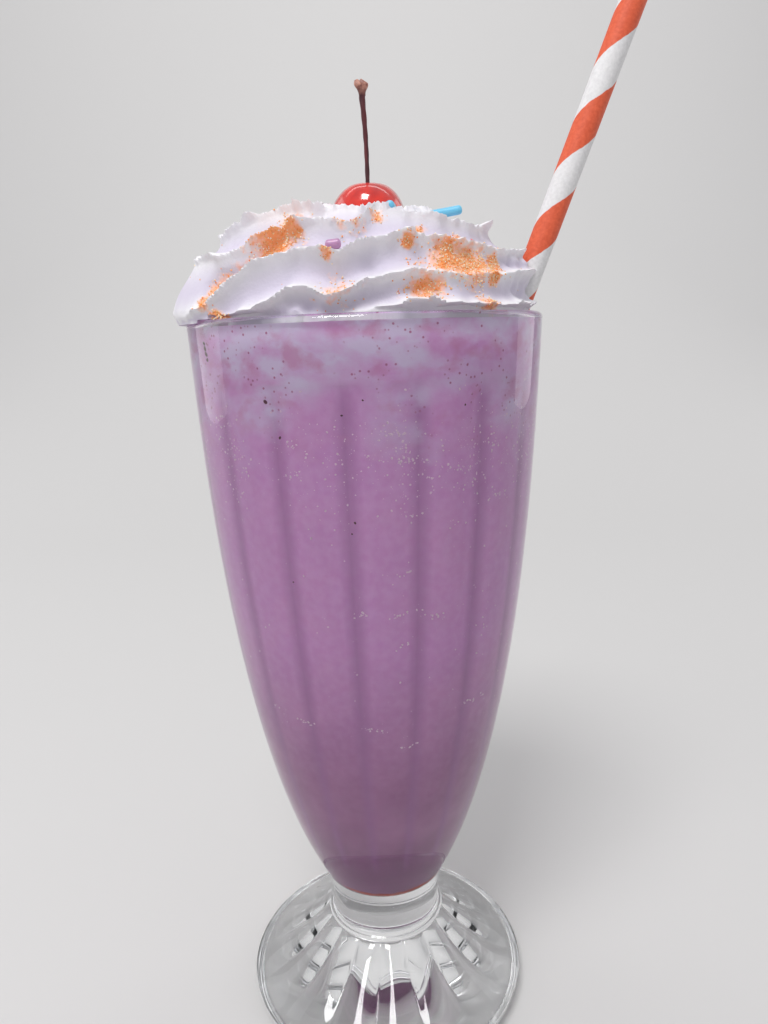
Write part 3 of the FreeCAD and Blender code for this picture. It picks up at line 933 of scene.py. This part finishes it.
def seat_on_rim(place, share, reach):
    """Hold the heap's lower edge inside the rim, or lay it on the rim where it runs over."""
    x, y, z = place
    radius = np.hypot(x, y)
    near_edge = (reach > RIM_OUTSIDE - 1.0 * MM) & (radius > RIM_INSIDE - 1.0 * MM)
    held = (share < 0.07) & (radius > RIM_INSIDE) & (reach <= RIM_OUTSIDE)
    tight = np.where(held, (RIM_INSIDE - 0.2 * MM) / np.maximum(radius, 1e-9), 1.0)
    radius = radius * tight
    z = np.where(near_edge | (radius > RIM_INSIDE + 1e-6), np.maximum(z, RIM_REST), z)
    hanging = np.maximum(np.where(share < 0.05, 0, z), OVERHANG_BOTTOM)
    z = np.where(radius > RIM_OUTSIDE, hanging, z)
    return np.stack([x * tight, y * tight, z], axis=1)


def cream_heap():
    """The heap: a unit dome with a flat underside, spun and then pushed to its place."""
    under = [(0, 0), (0.3, 0), (0.6, 0), (0.9, 0), (0.94, 0)]
    side = [(math.cos(a), math.sin(a)) for a in spread(0, math.pi / 2, HEAP_UP)]
    side[-1] = (0, 1)
    heap = turned("cream_heap", under + side, HEAP_AROUND)
    table = points_of(heap)
    across, azimuth = polar(table)
    share = np.arcsin(np.clip(table[:, 2], 0, 1)) / (math.pi / 2)
    reach = cream_reach(azimuth)
    x, y, z, edge, out = cream_place(share, azimuth)
    flat = (table[:, 2] < 1e-6) & (across < 0.97)
    floor_radius = np.where(across > 0.92, 1, across) * (RIM_INSIDE - 0.3 * MM)
    x = np.where(flat, floor_radius * np.cos(azimuth), x)
    y = np.where(flat, floor_radius * np.sin(azimuth), y)
    z = np.where(flat, CREAM_ROOT, z)
    mouth = flat & (across > 0.92) & (reach > RIM_OUTSIDE - 1.5 * MM)
    z = np.where(mouth, RIM_REST, z)
    move_points(heap, seat_on_rim((x, y, z), share, reach))
    for name, values in (("lip", edge), ("fold", out), ("stain", stain_at(share, azimuth))):
        store(heap, name, np.where(flat, 0.0, values))
    return heap


heap_piece = cream_heap()
print("cream heap:", len(heap_piece.data.polygons), "faces")

# %% [markdown]
# ## Piped cream: the finish
# Whipped cream is white and matte, scatters light a little and is full of fine air bubbles. Its
# hollows get a painted lilac shade.

# %% Finish of the cream
CREAM_WHITE = (0.78, 0.76, 0.79)
CREAM_SHADOW = (0.60, 0.55, 0.66)
STAIN_PALE = (0.94, 0.70, 0.61)
STAIN_SALMON = (0.95, 0.50, 0.34)
STAIN_ORANGE = (0.92, 0.35, 0.12)


def cream_finish():
    """White cream with painted lilac shade in its hollows, orange and wetter where syrup lies on it."""
    material, tree, shader = new_finish("whipped_cream_white")
    # Painted shade: the hollows between the lips are darkened to lilac.
    colour = ramp(tree, attribute(tree, "fold"), [(0.0, CREAM_SHADOW), (0.7, CREAM_WHITE)])
    patchy = level(tree, noise(tree, 520.0, detail=4.0), 0.3, 0.7, -0.35, 0.35)
    stain = attribute(tree, "stain")
    wet = level(tree, plus(tree, stain, times(tree, patchy, 0.8)), 0.28, 0.75)
    syrup = ramp(tree, plus(tree, stain, patchy),
                 [(0.2, STAIN_PALE), (0.6, STAIN_SALMON), (1.0, STAIN_ORANGE)])
    colour_by(tree, shader, blend_colours(tree, wet, colour, syrup))
    tree.links.new(level(tree, wet, 0.0, 1.0, 0.6, 0.3), shader.inputs["Roughness"])
    tune(shader, subsurface_weight=0.2, subsurface_radius=(1.0, 0.9, 0.9), subsurface_scale=1.2 * MM)
    grain = plus(tree, noise(tree, 1800.0, detail=3.0), noise(tree, 500.0, detail=2.0))
    crust = times(tree, wet, noise(tree, 1500.0, detail=2.0))
    bump(tree, shader, plus(tree, grain, times(tree, crust, 3.0)), 0.3, 0.3 * MM)
    return material


smooth_faces(heap_piece, 60)
dress(heap_piece, cream_finish())
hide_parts("whipped_cream")
print("cream dressed, its folds and stains stored on", len(heap_piece.data.vertices), "points")

# %% [markdown]
# ## Cream inside the glass
# Below the heap, the cream fills the top of the glass and has begun to melt into the shake. It is one
# more body of the hollow's form, with the shake's own colours, which turn pale and streaky there.

# %% Cream inside the glass
def marbled_finish():
    """Cream that has begun to mix with the shake."""
    material, tree, shader = new_finish("cream_mixing_with_shake")
    colour_by(tree, shader, shake_colour(tree))
    tune(shader, roughness=0.6, subsurface_weight=0.25, subsurface_radius=(1.0, 0.9, 0.9),
         subsurface_scale=2 * MM)
    return material


fill_piece = filled("cream_in_glass", SHAKE_TOP, CREAM_FILL_TOP, 24)
dress(fill_piece, marbled_finish())
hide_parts("whipped_cream")

# %% [markdown]
# ## Sugar grains
# Coarse orange sugar was strewn on top, and its colour runs into the cream. One small crystal is cut
# from a ball primitive and squashed. Copies of its few points are then laid on the heap as one mesh.

# %% One crystal and where it goes
GRAINS = 3600


def crystal(name, divisions=1):
    """A tiny crystal with flat faces, about one unit across."""
    bpy.ops.object.select_all(action="DESELECT")
    bpy.ops.mesh.primitive_ico_sphere_add(subdivisions=divisions, radius=0.5)
    grain = bpy.context.object
    grain.name = grain.data.name = name
    bpy.ops.transform.resize(value=(1.0, 0.8, 0.7))
    return settle(grain)


def surface_at(degrees, share):
    """Points and outward directions of the heap's surface at many places at once."""
    azimuth = np.radians(degrees)
    step = 0.004
    here = np.stack(cream_place(share, azimuth)[:3], axis=1)
    along = np.stack(cream_place(share, azimuth + step)[:3], axis=1) - here
    up = np.stack(cream_place(share + step, azimuth)[:3], axis=1) - here
    normal = np.cross(along, up)
    normal /= np.linalg.norm(normal, axis=1)[:, None]
    return here, normal


# %% [markdown]
# Thousands of separate objects would be slow, and instances are lost on export. The crystal's points
# are turned and scaled in one table instead, and become a single mesh. Each copy keeps a random shade.

# %% Copy a crystal many times
def copies(source, places, sizes, seed):
    """Many turned copies of a small mesh as one object, with a random shade on each."""
    draw = np.random.default_rng(seed)
    corner = points_of(source)
    faces = np.array([list(polygon.vertices) for polygon in source.data.polygons])
    count, each = len(places), len(corner)
    spin = draw.normal(size=(count, 4))
    spin /= np.linalg.norm(spin, axis=1)[:, None]
    w, x, y, z = spin.T
    turn = np.array([[1 - 2 * (y * y + z * z), 2 * (x * y - w * z), 2 * (x * z + w * y)],
                     [2 * (x * y + w * z), 1 - 2 * (x * x + z * z), 2 * (y * z - w * x)],
                     [2 * (x * z - w * y), 2 * (y * z + w * x), 1 - 2 * (x * x + y * y)]])
    turned_points = np.einsum("ijn,kj->nki", turn, corner) * sizes[:, None, None]
    points = (turned_points + places[:, None, :]).reshape(-1, 3)
    mesh = source.data
    every = (faces[None] + each * np.arange(count)[:, None, None]).reshape(-1, faces.shape[1])
    mesh.clear_geometry()
    mesh.from_pydata(points.tolist(), [], every.tolist())
    store(source, "shade", np.repeat(draw.uniform(0, 1, count), each))
    mesh.update()
    print(source.name + ":", count, "copies,", len(mesh.polygons), "faces")
    return source


# %% [markdown]
# Sugar falls at random but stays where the cream is wet and not too steep. Many places are tried, and
# the strength of the syrup there is each one's chance of being kept.

# %% Strew the sugar
SUGAR_SHADES = [(0.0, (0.90, 0.27, 0.06)), (0.35, (0.95, 0.45, 0.18)), (0.7, (0.97, 0.64, 0.38)),
                (1.0, (0.97, 0.85, 0.73))]
TRIES = 60


def grain_places(count, seed):
    """Random places on the heap, thick where the syrup is and rare elsewhere."""
    draw = np.random.default_rng(seed)
    degrees = draw.uniform(0, 360, TRIES * count)
    share = draw.uniform(0.05, 0.85, TRIES * count)
    chance = (stain_at(share, np.radians(degrees)) ** 2) * np.cos(np.radians(90 * share)) + 0.0008
    taken = np.flatnonzero(draw.uniform(0, 1.4, TRIES * count) < chance)[:count]
    return degrees[taken], share[taken]


def sugar_finish():
    """Clear-edged orange crystals, each with its own shade from rust to nearly white."""
    material, tree, shader = new_finish("orange_sugar")
    colour_by(tree, shader, ramp(tree, attribute(tree, "shade"), SUGAR_SHADES))
    tune(shader, roughness=0.15, subsurface_weight=0.3, subsurface_radius=(1.0, 0.4, 0.2),
         subsurface_scale=0.6 * MM)
    return material


grain_spots, grain_out = surface_at(*grain_places(GRAINS, 5))
grain_sizes = np.random.default_rng(8).uniform(0.25, 0.55, len(grain_spots)) * MM
grain_spots = grain_spots + grain_out * (0.12 * grain_sizes)[:, None]
sugar_piece = copies(crystal("sugar_grains"), grain_spots, grain_sizes, 9)
dress(sugar_piece, sugar_finish())

# %% [markdown]
# ## Sprinkles
# Sprinkles are short rods of coloured sugar with rounded ends. Each colour is one mesh of the same
# spun rod, laid where it rests in the cream.

# %% Rods of coloured sugar
ROD_RADIUS = 1.0 * MM


def rod(name, start, end):
    """A rod with round ends from one point to another, slightly bent."""
    start, end = Vector(start), Vector(end)
    length = (end - start).length
    cap = [(ROD_RADIUS * math.sin(a), ROD_RADIUS * 0.7 * (1 - math.cos(a)))
           for a in spread(0, math.pi / 2, 6)]
    top = [(r, length - z) for r, z in reversed(cap)]
    piece = turned(name, cap + [(ROD_RADIUS, length * k / 6) for k in range(1, 6)] + top, 20)
    table = points_of(piece)
    table[:, 0] += 0.12 * ROD_RADIUS * np.sin(math.pi * table[:, 2] / length)
    move_points(piece, table)
    turn = (end - start).to_track_quat("Z", "Y").to_matrix().to_4x4()
    piece.data.transform(Matrix.Translation(start) @ turn)
    return piece


def sprinkle_finish(name, colour):
    """Pressed sugar in one colour, smooth but faintly pitted."""
    material, tree, shader = new_finish(name)
    tune(shader, base_color=(*colour, 1.0), roughness=0.3, subsurface_weight=0.15,
         subsurface_scale=1 * MM)
    bump(tree, shader, noise(tree, 900.0, detail=2.0), 0.12, 0.2 * MM)
    return material


# %% [markdown]
# Each sprinkle is laid one by one, by the places of its two ends, so that it rests on the cream and
# sinks in a little.

# %% Lay the sprinkles
# Both ends of each rod: left to right, front to back and height above the rim, in millimetres.
SPRINKLES = {
    "sky_blue": ((0.16, 0.52, 0.74), [((14.6, -16.2, 20.9), (22.2, -16.2, 22.0)),
                                      ((6.2, -19.2, 22.9), (6.9, -13.0, 23.4)),
                                      ((-21.5, -9.0, 22.2), (-17.0, -11.5, 23.6)),
                                      ((12.0, 20.0, 21.6), (17.0, 17.0, 21.8)),
                                      ((-14.0, 24.0, 18.8), (-8.0, 26.0, 18.4))]),
    "mauve": ((0.46, 0.24, 0.42), [((-7.4, -34.8, 13.2), (-4.2, -35.0, 13.5)),
                                   ((-25.0, 16.0, 19.4), (-20.0, 19.0, 20.0)),
                                   ((28.0, 14.0, 14.6), (30.0, 8.0, 15.6))]),
    "rose_pink": ((0.78, 0.25, 0.26), [((20.6, -20.0, 16.2), (28.0, -19.0, 11.6)),
                                       ((2.0, 28.0, 17.5), (7.5, 28.5, 16.8)),
                                       ((-33.0, 8.0, 14.2), (-30.5, 13.0, 15.2))]),
}

for colour_name, (tint, ends) in SPRINKLES.items():
    finish = sprinkle_finish(colour_name + "_sugar", tint)
    for number, pair in enumerate(ends, start=1):
        start, end = [(x * MM, y * MM, GLASS_HEIGHT + z * MM) for x, y, z in pair]
        piece = rod("%s_sprinkle_%d" % (colour_name, number), start, end)
        smooth_faces(piece, 60)
        dress(piece, finish)
print("sprinkles:", sum(len(ends) for tint, ends in SPRINKLES.values()))

# %% [markdown]
# ## Bubbles and berry specks against the glass
# Whipping leaves froth. Small pale bubbles press against the glass in a band a third of the way down,
# and a few dark specks of berry skin show in the shake. Each kind is one mesh of small balls.

# %% Froth and specks
BUBBLES = 2600


def on_wall(degrees, height, sink):
    """Points on the hollow's fluted wall, sunk by the given depth towards the middle."""
    azimuth = np.radians(degrees)
    radius = np.array([inner_radius(z) for z in height])
    radius = radius * (1 - flute_depth(height) * lobes(azimuth, FLUTES)) + INTO_WALL - sink
    return np.stack([radius * np.cos(azimuth), radius * np.sin(azimuth), height], axis=1)


def ball_finish(name, colour, roughness):
    """One plain colour with some gloss."""
    material, tree, shader = new_finish(name)
    tune(shader, base_color=(*colour, 1.0), roughness=roughness)
    return material


# Three bubbles in four lie in a band at this height, the others are scattered below it.
draw = np.random.default_rng(21)
froth_height = np.where(draw.uniform(0, 1, BUBBLES) < 0.75, draw.normal(0.161, 0.006, BUBBLES),
                        0.163 - 0.07 * draw.uniform(0, 1, BUBBLES) ** 1.6)
froth_clusters = draw.uniform(0, 360, 60)
froth_degrees = draw.choice(froth_clusters, BUBBLES) + draw.normal(0, 4.0, BUBBLES)
froth_sizes = (0.22 + 0.65 * draw.uniform(0, 1, BUBBLES) ** 3) * MM
froth_height = np.clip(froth_height, 0.08, 0.175)
print("froth band %.0f mm above the table" % (np.median(froth_height) / MM))

# %% [markdown]
# A spoon drawn along the wall leaves short loose rows of bubbles. They are added to the froth's list
# before the one mesh of bubbles is made.

# %% Rows of bubbles
# Rows of bubbles drawn out by the spoon: middle in degrees, height and length in mm, rise in mm.
FROTH_ROWS = [(265, 126, 5, 1.2), (281, 126, 8, 1.6), (285, 160, 9, -0.8), (296, 158, 5, -1.5),
              (277, 166, 5, -0.5), (279, 118, 3, 0.8)]
FROTH_ROWS += [(draw.uniform(0, 360), draw.uniform(80, 165), draw.uniform(3, 8), draw.uniform(-2, 2))
               for k in range(22)]
for degrees, height, length, rise in FROTH_ROWS:
    along = draw.uniform(-0.5, 0.5, int(length * 2))
    turn = np.degrees(along * length * MM / inner_radius(height * MM))
    froth_degrees = np.append(froth_degrees, degrees + turn)
    lift = along * rise + draw.normal(0, 0.35, len(along))
    froth_height = np.append(froth_height, (height + lift) * MM)
    froth_sizes = np.append(froth_sizes, draw.uniform(0.3, 0.9, len(along)) * MM)
froth_spots = on_wall(froth_degrees, froth_height, 0.15 * froth_sizes)
froth_piece = copies(crystal("froth_bubbles"), froth_spots, froth_sizes, 22)
smooth_faces(froth_piece, 80)
dress(froth_piece, ball_finish("froth_pale", (0.86, 0.68, 0.80), 0.35))

# %% Berry specks
# Specks at the front: degrees round, height and width in millimetres. More are strewn behind.
SPECKS = [(213.0, 181.6, 1.2), (212.6, 182.8, 1.5), (212.3, 184.0, 1.5), (212.0, 185.1, 1.2),
          (237.8, 172.9, 1.1), (241.6, 165.4, 0.9), (263.3, 144.9, 0.8), (264.5, 147.3, 0.7),
          (240.8, 133.0, 0.8), (262.0, 170.0, 0.6), (268.5, 173.0, 0.5), (300.0, 171.0, 0.6)]
speck_table = np.array(SPECKS + [(draw.uniform(0, 180), draw.uniform(125, 180), draw.uniform(0.5, 0.9))
                                 for k in range(12)])
speck_spots = on_wall(speck_table[:, 0], speck_table[:, 1] * MM, 0.12 * speck_table[:, 2] * MM)
speck_piece = copies(crystal("berry_specks", 2), speck_spots, speck_table[:, 2] * MM, 23)
smooth_faces(speck_piece, 80)
dress(speck_piece, ball_finish("berry_skin", (0.10, 0.015, 0.04), 0.4))

# %% [markdown]
# ## The paper straw
# A paper straw is wound from strips, and the printed stripe winds up it like a barber's pole. The
# tube is a short ring of faces extruded to length, then leaned over. Its stripe follows the tube's own
# UV map, so that it stays on the paper.

# %% Straw tube
STRAW_LEAN = math.radians(21.2)
STRAW_RADIUS = 3.0 * MM
STRAW_WALL = 0.4 * MM
STRAW_ROUND = 0.05 * MM
STRAW_STEPS = 96
STRIPE_PITCH = 23.7 * MM
STRIPE_PHASE = 0.811
straw_top_x = straw_high.x - STRAW_RADIUS * math.cos(STRAW_LEAN)
straw_top_z = straw_high.z - STRAW_RADIUS * math.sin(STRAW_LEAN)
straw_foot_z = straw_low.z + STRAW_RADIUS * math.sin(STRAW_LEAN)
straw_length = (straw_top_z - straw_foot_z) / math.cos(STRAW_LEAN)
straw_y = (straw_low.y + straw_high.y) / 2
print("straw %.1f mm long" % (straw_length / MM))


def straw_tube():
    """An open paper tube: spun upright, given its UV map, then leaned to its place."""
    low, high = STRAW_ROUND, straw_length - STRAW_ROUND
    outer = [(STRAW_RADIUS, z) for z in spread(low, high, 60)]
    inner = [(STRAW_RADIUS - STRAW_WALL, z) for z in reversed(spread(low, high, 30))]
    middle = STRAW_RADIUS - STRAW_WALL / 2
    section = [(middle, 0)] + outer + [(middle, straw_length)] + inner + [(middle, 0)]
    tube = turned("paper_straw", section, STRAW_STEPS)
    table = points_of(tube)
    paper = tube.data.uv_layers.new(name="paper")
    corners = np.empty(len(tube.data.loops), dtype=int)
    tube.data.loops.foreach_get("vertex_index", corners)
    turn = polar(table)[1][corners] / (2 * math.pi)
    centre = np.zeros(len(corners))
    for polygon in tube.data.polygons:
        loops = list(polygon.loop_indices)
        turns = turn[loops]
        if turns.max() - turns.min() > 0.5:
            turns = np.where(turns < 0, turns + 1, turns)
        centre[loops] = turns
    uv = np.stack([centre, table[corners, 2] / STRIPE_PITCH], axis=1)
    paper.data.foreach_set("uv", uv.ravel())
    lean = Matrix.Translation((straw_top_x, straw_y, straw_top_z)) @ Matrix.Rotation(STRAW_LEAN, 4, "Y")
    tube.data.transform(lean @ Matrix.Translation((0, 0, -straw_length)))
    return tube


# %% [markdown]
# ## The winding stripe
# Along the tube and round it, the UV map counts in turns. The difference of the two is the same all
# along one winding, so a fraction of it cut in half gives a stripe that climbs round the straw.

# %% Finish of the straw
def straw_finish():
    """White paper with an orange stripe that winds up it, and the seam of the wound strips."""
    material, tree, shader = new_finish("striped_straw_paper")
    parts = split(tree, add(tree, "ShaderNodeUVMap", uv_map="paper").outputs["UV"])
    wobble = level(tree, noise(tree, 700.0, detail=2.0), 0.3, 0.7, -0.006, 0.006)
    along = calculate(tree, "SUBTRACT", parts["Y"], parts["X"])
    along = plus(tree, plus(tree, along, wobble), STRIPE_PHASE + 10.0)
    turn = calculate(tree, "FRACT", along, 0.0)
    edge = calculate(tree, "PINGPONG", turn, 0.5)
    stripe = level(tree, edge, 0.245, 0.255)
    fibres = noise(tree, 1500.0, detail=4.0)
    white = ramp(tree, fibres, [(0.3, (0.66, 0.65, 0.65)), (0.7, (0.76, 0.75, 0.75))])
    orange = ramp(tree, fibres, [(0.3, (0.62, 0.085, 0.03)), (0.7, (0.74, 0.125, 0.05))])
    colour_by(tree, shader, blend_colours(tree, stripe, white, orange))
    tune(shader, roughness=0.62)
    seam = level(tree, edge, 0.0, 0.012)
    bump(tree, shader, plus(tree, seam, times(tree, fibres, 0.3)), 0.3, 0.1 * MM)
    return material


straw_piece = straw_tube()
smooth_faces(straw_piece, 40)
dress(straw_piece, straw_finish())
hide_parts("straw")
print("straw:", len(straw_piece.data.polygons), "faces, a stripe every %.1f mm" % (STRIPE_PITCH / MM))

# %% [markdown]
# ## Cherry and stem
# The cherry is a preserved one: soft, a little lopsided, with a dimple for its stalk and a wet shine.
# A ball primitive is pushed into that shape. The stalk is a spun profile with a lumpy woody end.

# %% Cherry
cherry_middle = (cherry_low + cherry_high) / 2
cherry_radius = (cherry_high.x - cherry_low.x) / 2
cherry_half = cherry_middle.z - cherry_low.z


def cherry_ball():
    """The ball, made lopsided, with a dimple on top and a faint crease down one side."""
    bpy.ops.object.select_all(action="DESELECT")
    bpy.ops.mesh.primitive_uv_sphere_add(segments=128, ring_count=96, radius=1.0)
    ball = bpy.context.object
    ball.name = ball.data.name = "cherry_flesh"
    table = points_of(ball)
    across, azimuth = polar(table)
    lopsided = 1 - 0.015 * (1 + np.cos(2 * azimuth + 0.7)) * across
    lopsided -= 0.012 * (1 + np.sin(3 * azimuth + 5 * table[:, 2]))
    dimple = 0.20 * np.exp(-(across / 0.30) ** 2) * (table[:, 2] > 0)
    crease = 0.02 * np.exp(-(wrap(azimuth - 4.4) / 0.16) ** 2) * across * (table[:, 2] + 1) / 2
    table[:, :2] *= ((lopsided - crease) * cherry_radius)[:, None]
    table[:, 2] = (table[:, 2] - dimple) * cherry_half
    table[:, 2] *= cherry_half / table[:, 2].max()
    move_points(ball, table + np.array(cherry_middle))
    return ball


# %% [markdown]
# A preserved cherry is red right through and wet. Noise varies the red a little, a clear coat gives
# the wet shine, and a faint bump keeps the highlight from being perfect.

# %% Finish of the cherry
def cherry_finish():
    """Deep red flesh under a wet clear coat."""
    material, tree, shader = new_finish("preserved_cherry")
    skin = noise(tree, 240.0, detail=3.0)
    colour_by(tree, shader, ramp(tree, skin, [(0.3, (0.44, 0.004, 0.002)), (0.7, (0.70, 0.018, 0.004))]))
    tune(shader, roughness=0.16, subsurface_weight=0.15, subsurface_radius=(1.0, 0.12, 0.06),
         subsurface_scale=3 * MM, coat_weight=1.0, coat_roughness=0.04)
    bump(tree, shader, noise(tree, 420.0, detail=2.0), 0.12, 0.4 * MM)
    return material


cherry_piece = cherry_ball()
smooth_faces(cherry_piece, 80)
dress(cherry_piece, cherry_finish())
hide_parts("cherry")
print("cherry %.1f mm across" % (2 * cherry_radius / MM))

# %% [markdown]
# ## The stalk
# A cherry's stalk is a thin bent string that ends in a lumpy bit of wood, where it broke from the twig.
# It is spun straight, with its swelling in the section. Then its points are pushed out into lumps
# and along its bend.

# %% Stalk
STALK_THIN = 0.62 * MM
STALK_KNOB = 1.45 * MM
STALK_SWELLING = 0.955
WOODY_FROM = 0.86
stalk_foot = cherry_middle.z + cherry_half * 0.78
stalk_length = stem_high.z - 0.1 * MM - stalk_foot


def stalk_radius(share):
    """Radius at a share of the stalk's length: thin, a little thicker upwards, then the knob."""
    swell = math.exp(-((share - STALK_SWELLING) / 0.045) ** 2)
    taper = 0.82 + 0.45 * share ** 3
    closing = 1.0 if share < 1 else 0.6
    return (STALK_THIN * taper * (1 - swell) + STALK_KNOB * swell) * closing


def stem_stalk():
    """The stalk, from inside the cherry's dimple to its woody end."""
    section = [(0, 0), (STALK_THIN * 1.1, 0.0)]
    section += [(stalk_radius(share), stalk_length * share) for share in spread(0.02, 1.0, 60)]
    section.append((0, stalk_length))
    stalk = turned("cherry_stalk", section, 28)
    table = points_of(stalk)
    share = table[:, 2] / stalk_length
    azimuth = polar(table)[1]
    lumps = 1 + 0.22 * np.sin(3 * azimuth + 9 * share) * (share > WOODY_FROM)
    lumps += 0.06 * np.sin(2 * azimuth + 40 * share)
    table[:, :2] *= lumps[:, None]
    table[:, 2] += np.where(share > 0.97, 0.25 * MM * np.sin(4 * azimuth), 0)
    table[:, 0] += cherry_middle.x - 0.9 * MM * share + 0.35 * MM * np.sin(math.pi * share)
    table[:, 1] += cherry_middle.y + 0.25 * MM * np.sin(2 * math.pi * share)
    table[:, 2] += stalk_foot
    move_points(stalk, table)
    return stalk


# %% [markdown]
# The stalk's fibres run along it, so its noise is stretched in height. The wood at its end is paler.

# %% Finish of the stalk
def stem_finish():
    """Dark red-brown, streaked along its length, with paler wood at the top."""
    material, tree, shader = new_finish("cherry_stalk_brown")
    height = split(tree, place_on(tree))["Z"]
    streaks = noise(tree, 900.0, detail=3.0, stretch=(1, 1, 0.15))
    dark = ramp(tree, streaks, [(0.35, (0.045, 0.006, 0.010)), (0.7, (0.13, 0.018, 0.022))])
    woody = ramp(tree, noise(tree, 1200.0, detail=3.0),
                 [(0.35, (0.22, 0.08, 0.06)), (0.65, (0.55, 0.27, 0.20))])
    top = level(tree, height, stalk_foot + WOODY_FROM * stalk_length, stalk_foot + 0.93 * stalk_length)
    colour_by(tree, shader, blend_colours(tree, top, dark, woody))
    tune(shader, roughness=0.45)
    bump(tree, shader, streaks, 0.4, 0.2 * MM)
    return material


stalk_piece = stem_stalk()
smooth_faces(stalk_piece, 60)
dress(stalk_piece, stem_finish())
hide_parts("cherry_stem")
print("stalk %.1f mm long" % (stalk_length / MM))

# %% [markdown]
# ## Stage
# A pale sheet that runs flat under the glass and curves up behind it, as in a studio, keeps the
# clear glass readable. Soft large lamps give long gentle highlights on the glass and the cherry.

# %% Sheet under and behind
SHEET_SIZE = 5.0
SHEET_BEND = 1.1


def select_edges(piece, wanted):
    """In edit mode, select the edges whose ends both pass the test."""
    bpy.ops.mesh.select_all(action="DESELECT")
    shape = bmesh.from_edit_mesh(piece.data)
    for edge in shape.edges:
        edge.select = all(wanted(end.co) for end in edge.verts)
    bmesh.update_edit_mesh(piece.data)


def stage_sheet():
    """A plane whose far edge is extruded upwards, with the bend rounded."""
    bpy.ops.object.select_all(action="DESELECT")
    bpy.ops.mesh.primitive_plane_add(size=SHEET_SIZE, location=(0, -0.9, -0.2 * MM))
    sheet = settle(bpy.context.object)
    sheet.name = sheet.data.name = "pale_sheet"
    bpy.ops.object.mode_set(mode="EDIT")
    bpy.ops.mesh.select_mode(type="EDGE")
    select_edges(sheet, lambda place: place.y > 1.0)
    bpy.ops.mesh.extrude_region_move(TRANSFORM_OT_translate={"value": (0, 0, 3.0)})
    select_edges(sheet, lambda place: place.y > 1.0 and place.z < 0.1)
    bpy.ops.mesh.bevel(offset=SHEET_BEND, segments=24, affect="EDGES")
    bpy.ops.object.mode_set(mode="OBJECT")
    smooth_faces(sheet, 60)
    material, tree, shader = new_finish("pale_sheet")
    tune(shader, base_color=(0.62, 0.61, 0.60, 1), roughness=0.8)
    sheet.data.materials.append(material)
    return sheet


print("stage:", stage_sheet().name)

# %% [markdown]
# ## Light
# Clear glass shows what is around it, so a few wide lamps do more for it than strong ones. One lamp
# stands in front and above, one low at each side behind the glass, and one lights the sheet behind.
# The room itself gives an even light.

# %% Lamps and world
MIDDLE_OF_GLASS = (0, 0, 0.12)
UP_THE_SHEET = (0, 1.8, 0.7)

# Name, place and size in metres, power in watts, and the point it is turned to.
LAMPS = [("top_lamp", (-0.20, -0.46, 0.95), (0.35, 0.35), 6.2, MIDDLE_OF_GLASS),
         ("left_lamp", (-0.95, 0.45, 0.42), (0.6, 1.1), 2.0, MIDDLE_OF_GLASS),
         ("right_lamp", (0.95, 0.55, 0.42), (0.5, 0.9), 1.3, MIDDLE_OF_GLASS),
         ("back_lamp", (0, 0.55, 1.5), (2.0, 0.6), 10.0, UP_THE_SHEET)]


def soft_lamp(name, place, size, power, target):
    """A rectangle of light at a place, turned to its target."""
    lamp = bpy.data.lights.new(name, "AREA")
    lamp.shape = "RECTANGLE"
    lamp.size, lamp.size_y = size
    lamp.energy = power
    holder = bpy.data.objects.new(name, lamp)
    bpy.context.scene.collection.objects.link(holder)
    holder.location = place
    holder.rotation_euler = (Vector(target) - Vector(place)).to_track_quat("-Z", "Y").to_euler()


for row in LAMPS:
    soft_lamp(*row)

world = bpy.data.worlds.new("room")
bpy.context.scene.world = world
world.use_nodes = True
tune(world.node_tree.nodes["Background"], color=(0.95, 0.96, 1.0, 1.0), strength=0.60)
print("lamps:", len(LAMPS), "and an even room")

# %% [markdown]
# ## Camera
# The eye is about 19 cm in front of the glass and level with its rim, and looks down a little, so the
# rim is nearly a line and the foot shows its upper side. A wide lens so near makes the glass taper
# more than it really does.

# %% Camera
EYE = (0, -0.1915, GLASS_HEIGHT - 5.1 * MM)
EYE_TURN = math.radians(-0.94)
EYE_DOWN = math.radians(13.03)
EYE_ROLL = math.radians(-1.84)

camera_data = bpy.data.cameras.new("camera")
camera_data.lens = 26.37
camera_data.sensor_width = 36.0
camera = bpy.data.objects.new("camera", camera_data)
bpy.context.scene.collection.objects.link(camera)
aim = (Matrix.Rotation(EYE_TURN, 4, "Z") @ Matrix.Rotation(math.pi / 2 - EYE_DOWN, 4, "X")
       @ Matrix.Rotation(EYE_ROLL, 4, "Z"))
camera.matrix_world = Matrix.Translation(EYE) @ aim
bpy.context.scene.camera = camera
bpy.context.scene.view_settings.view_transform = "Standard"
print("camera %.0f mm from the glass's axis" % (-EYE[1] / MM))
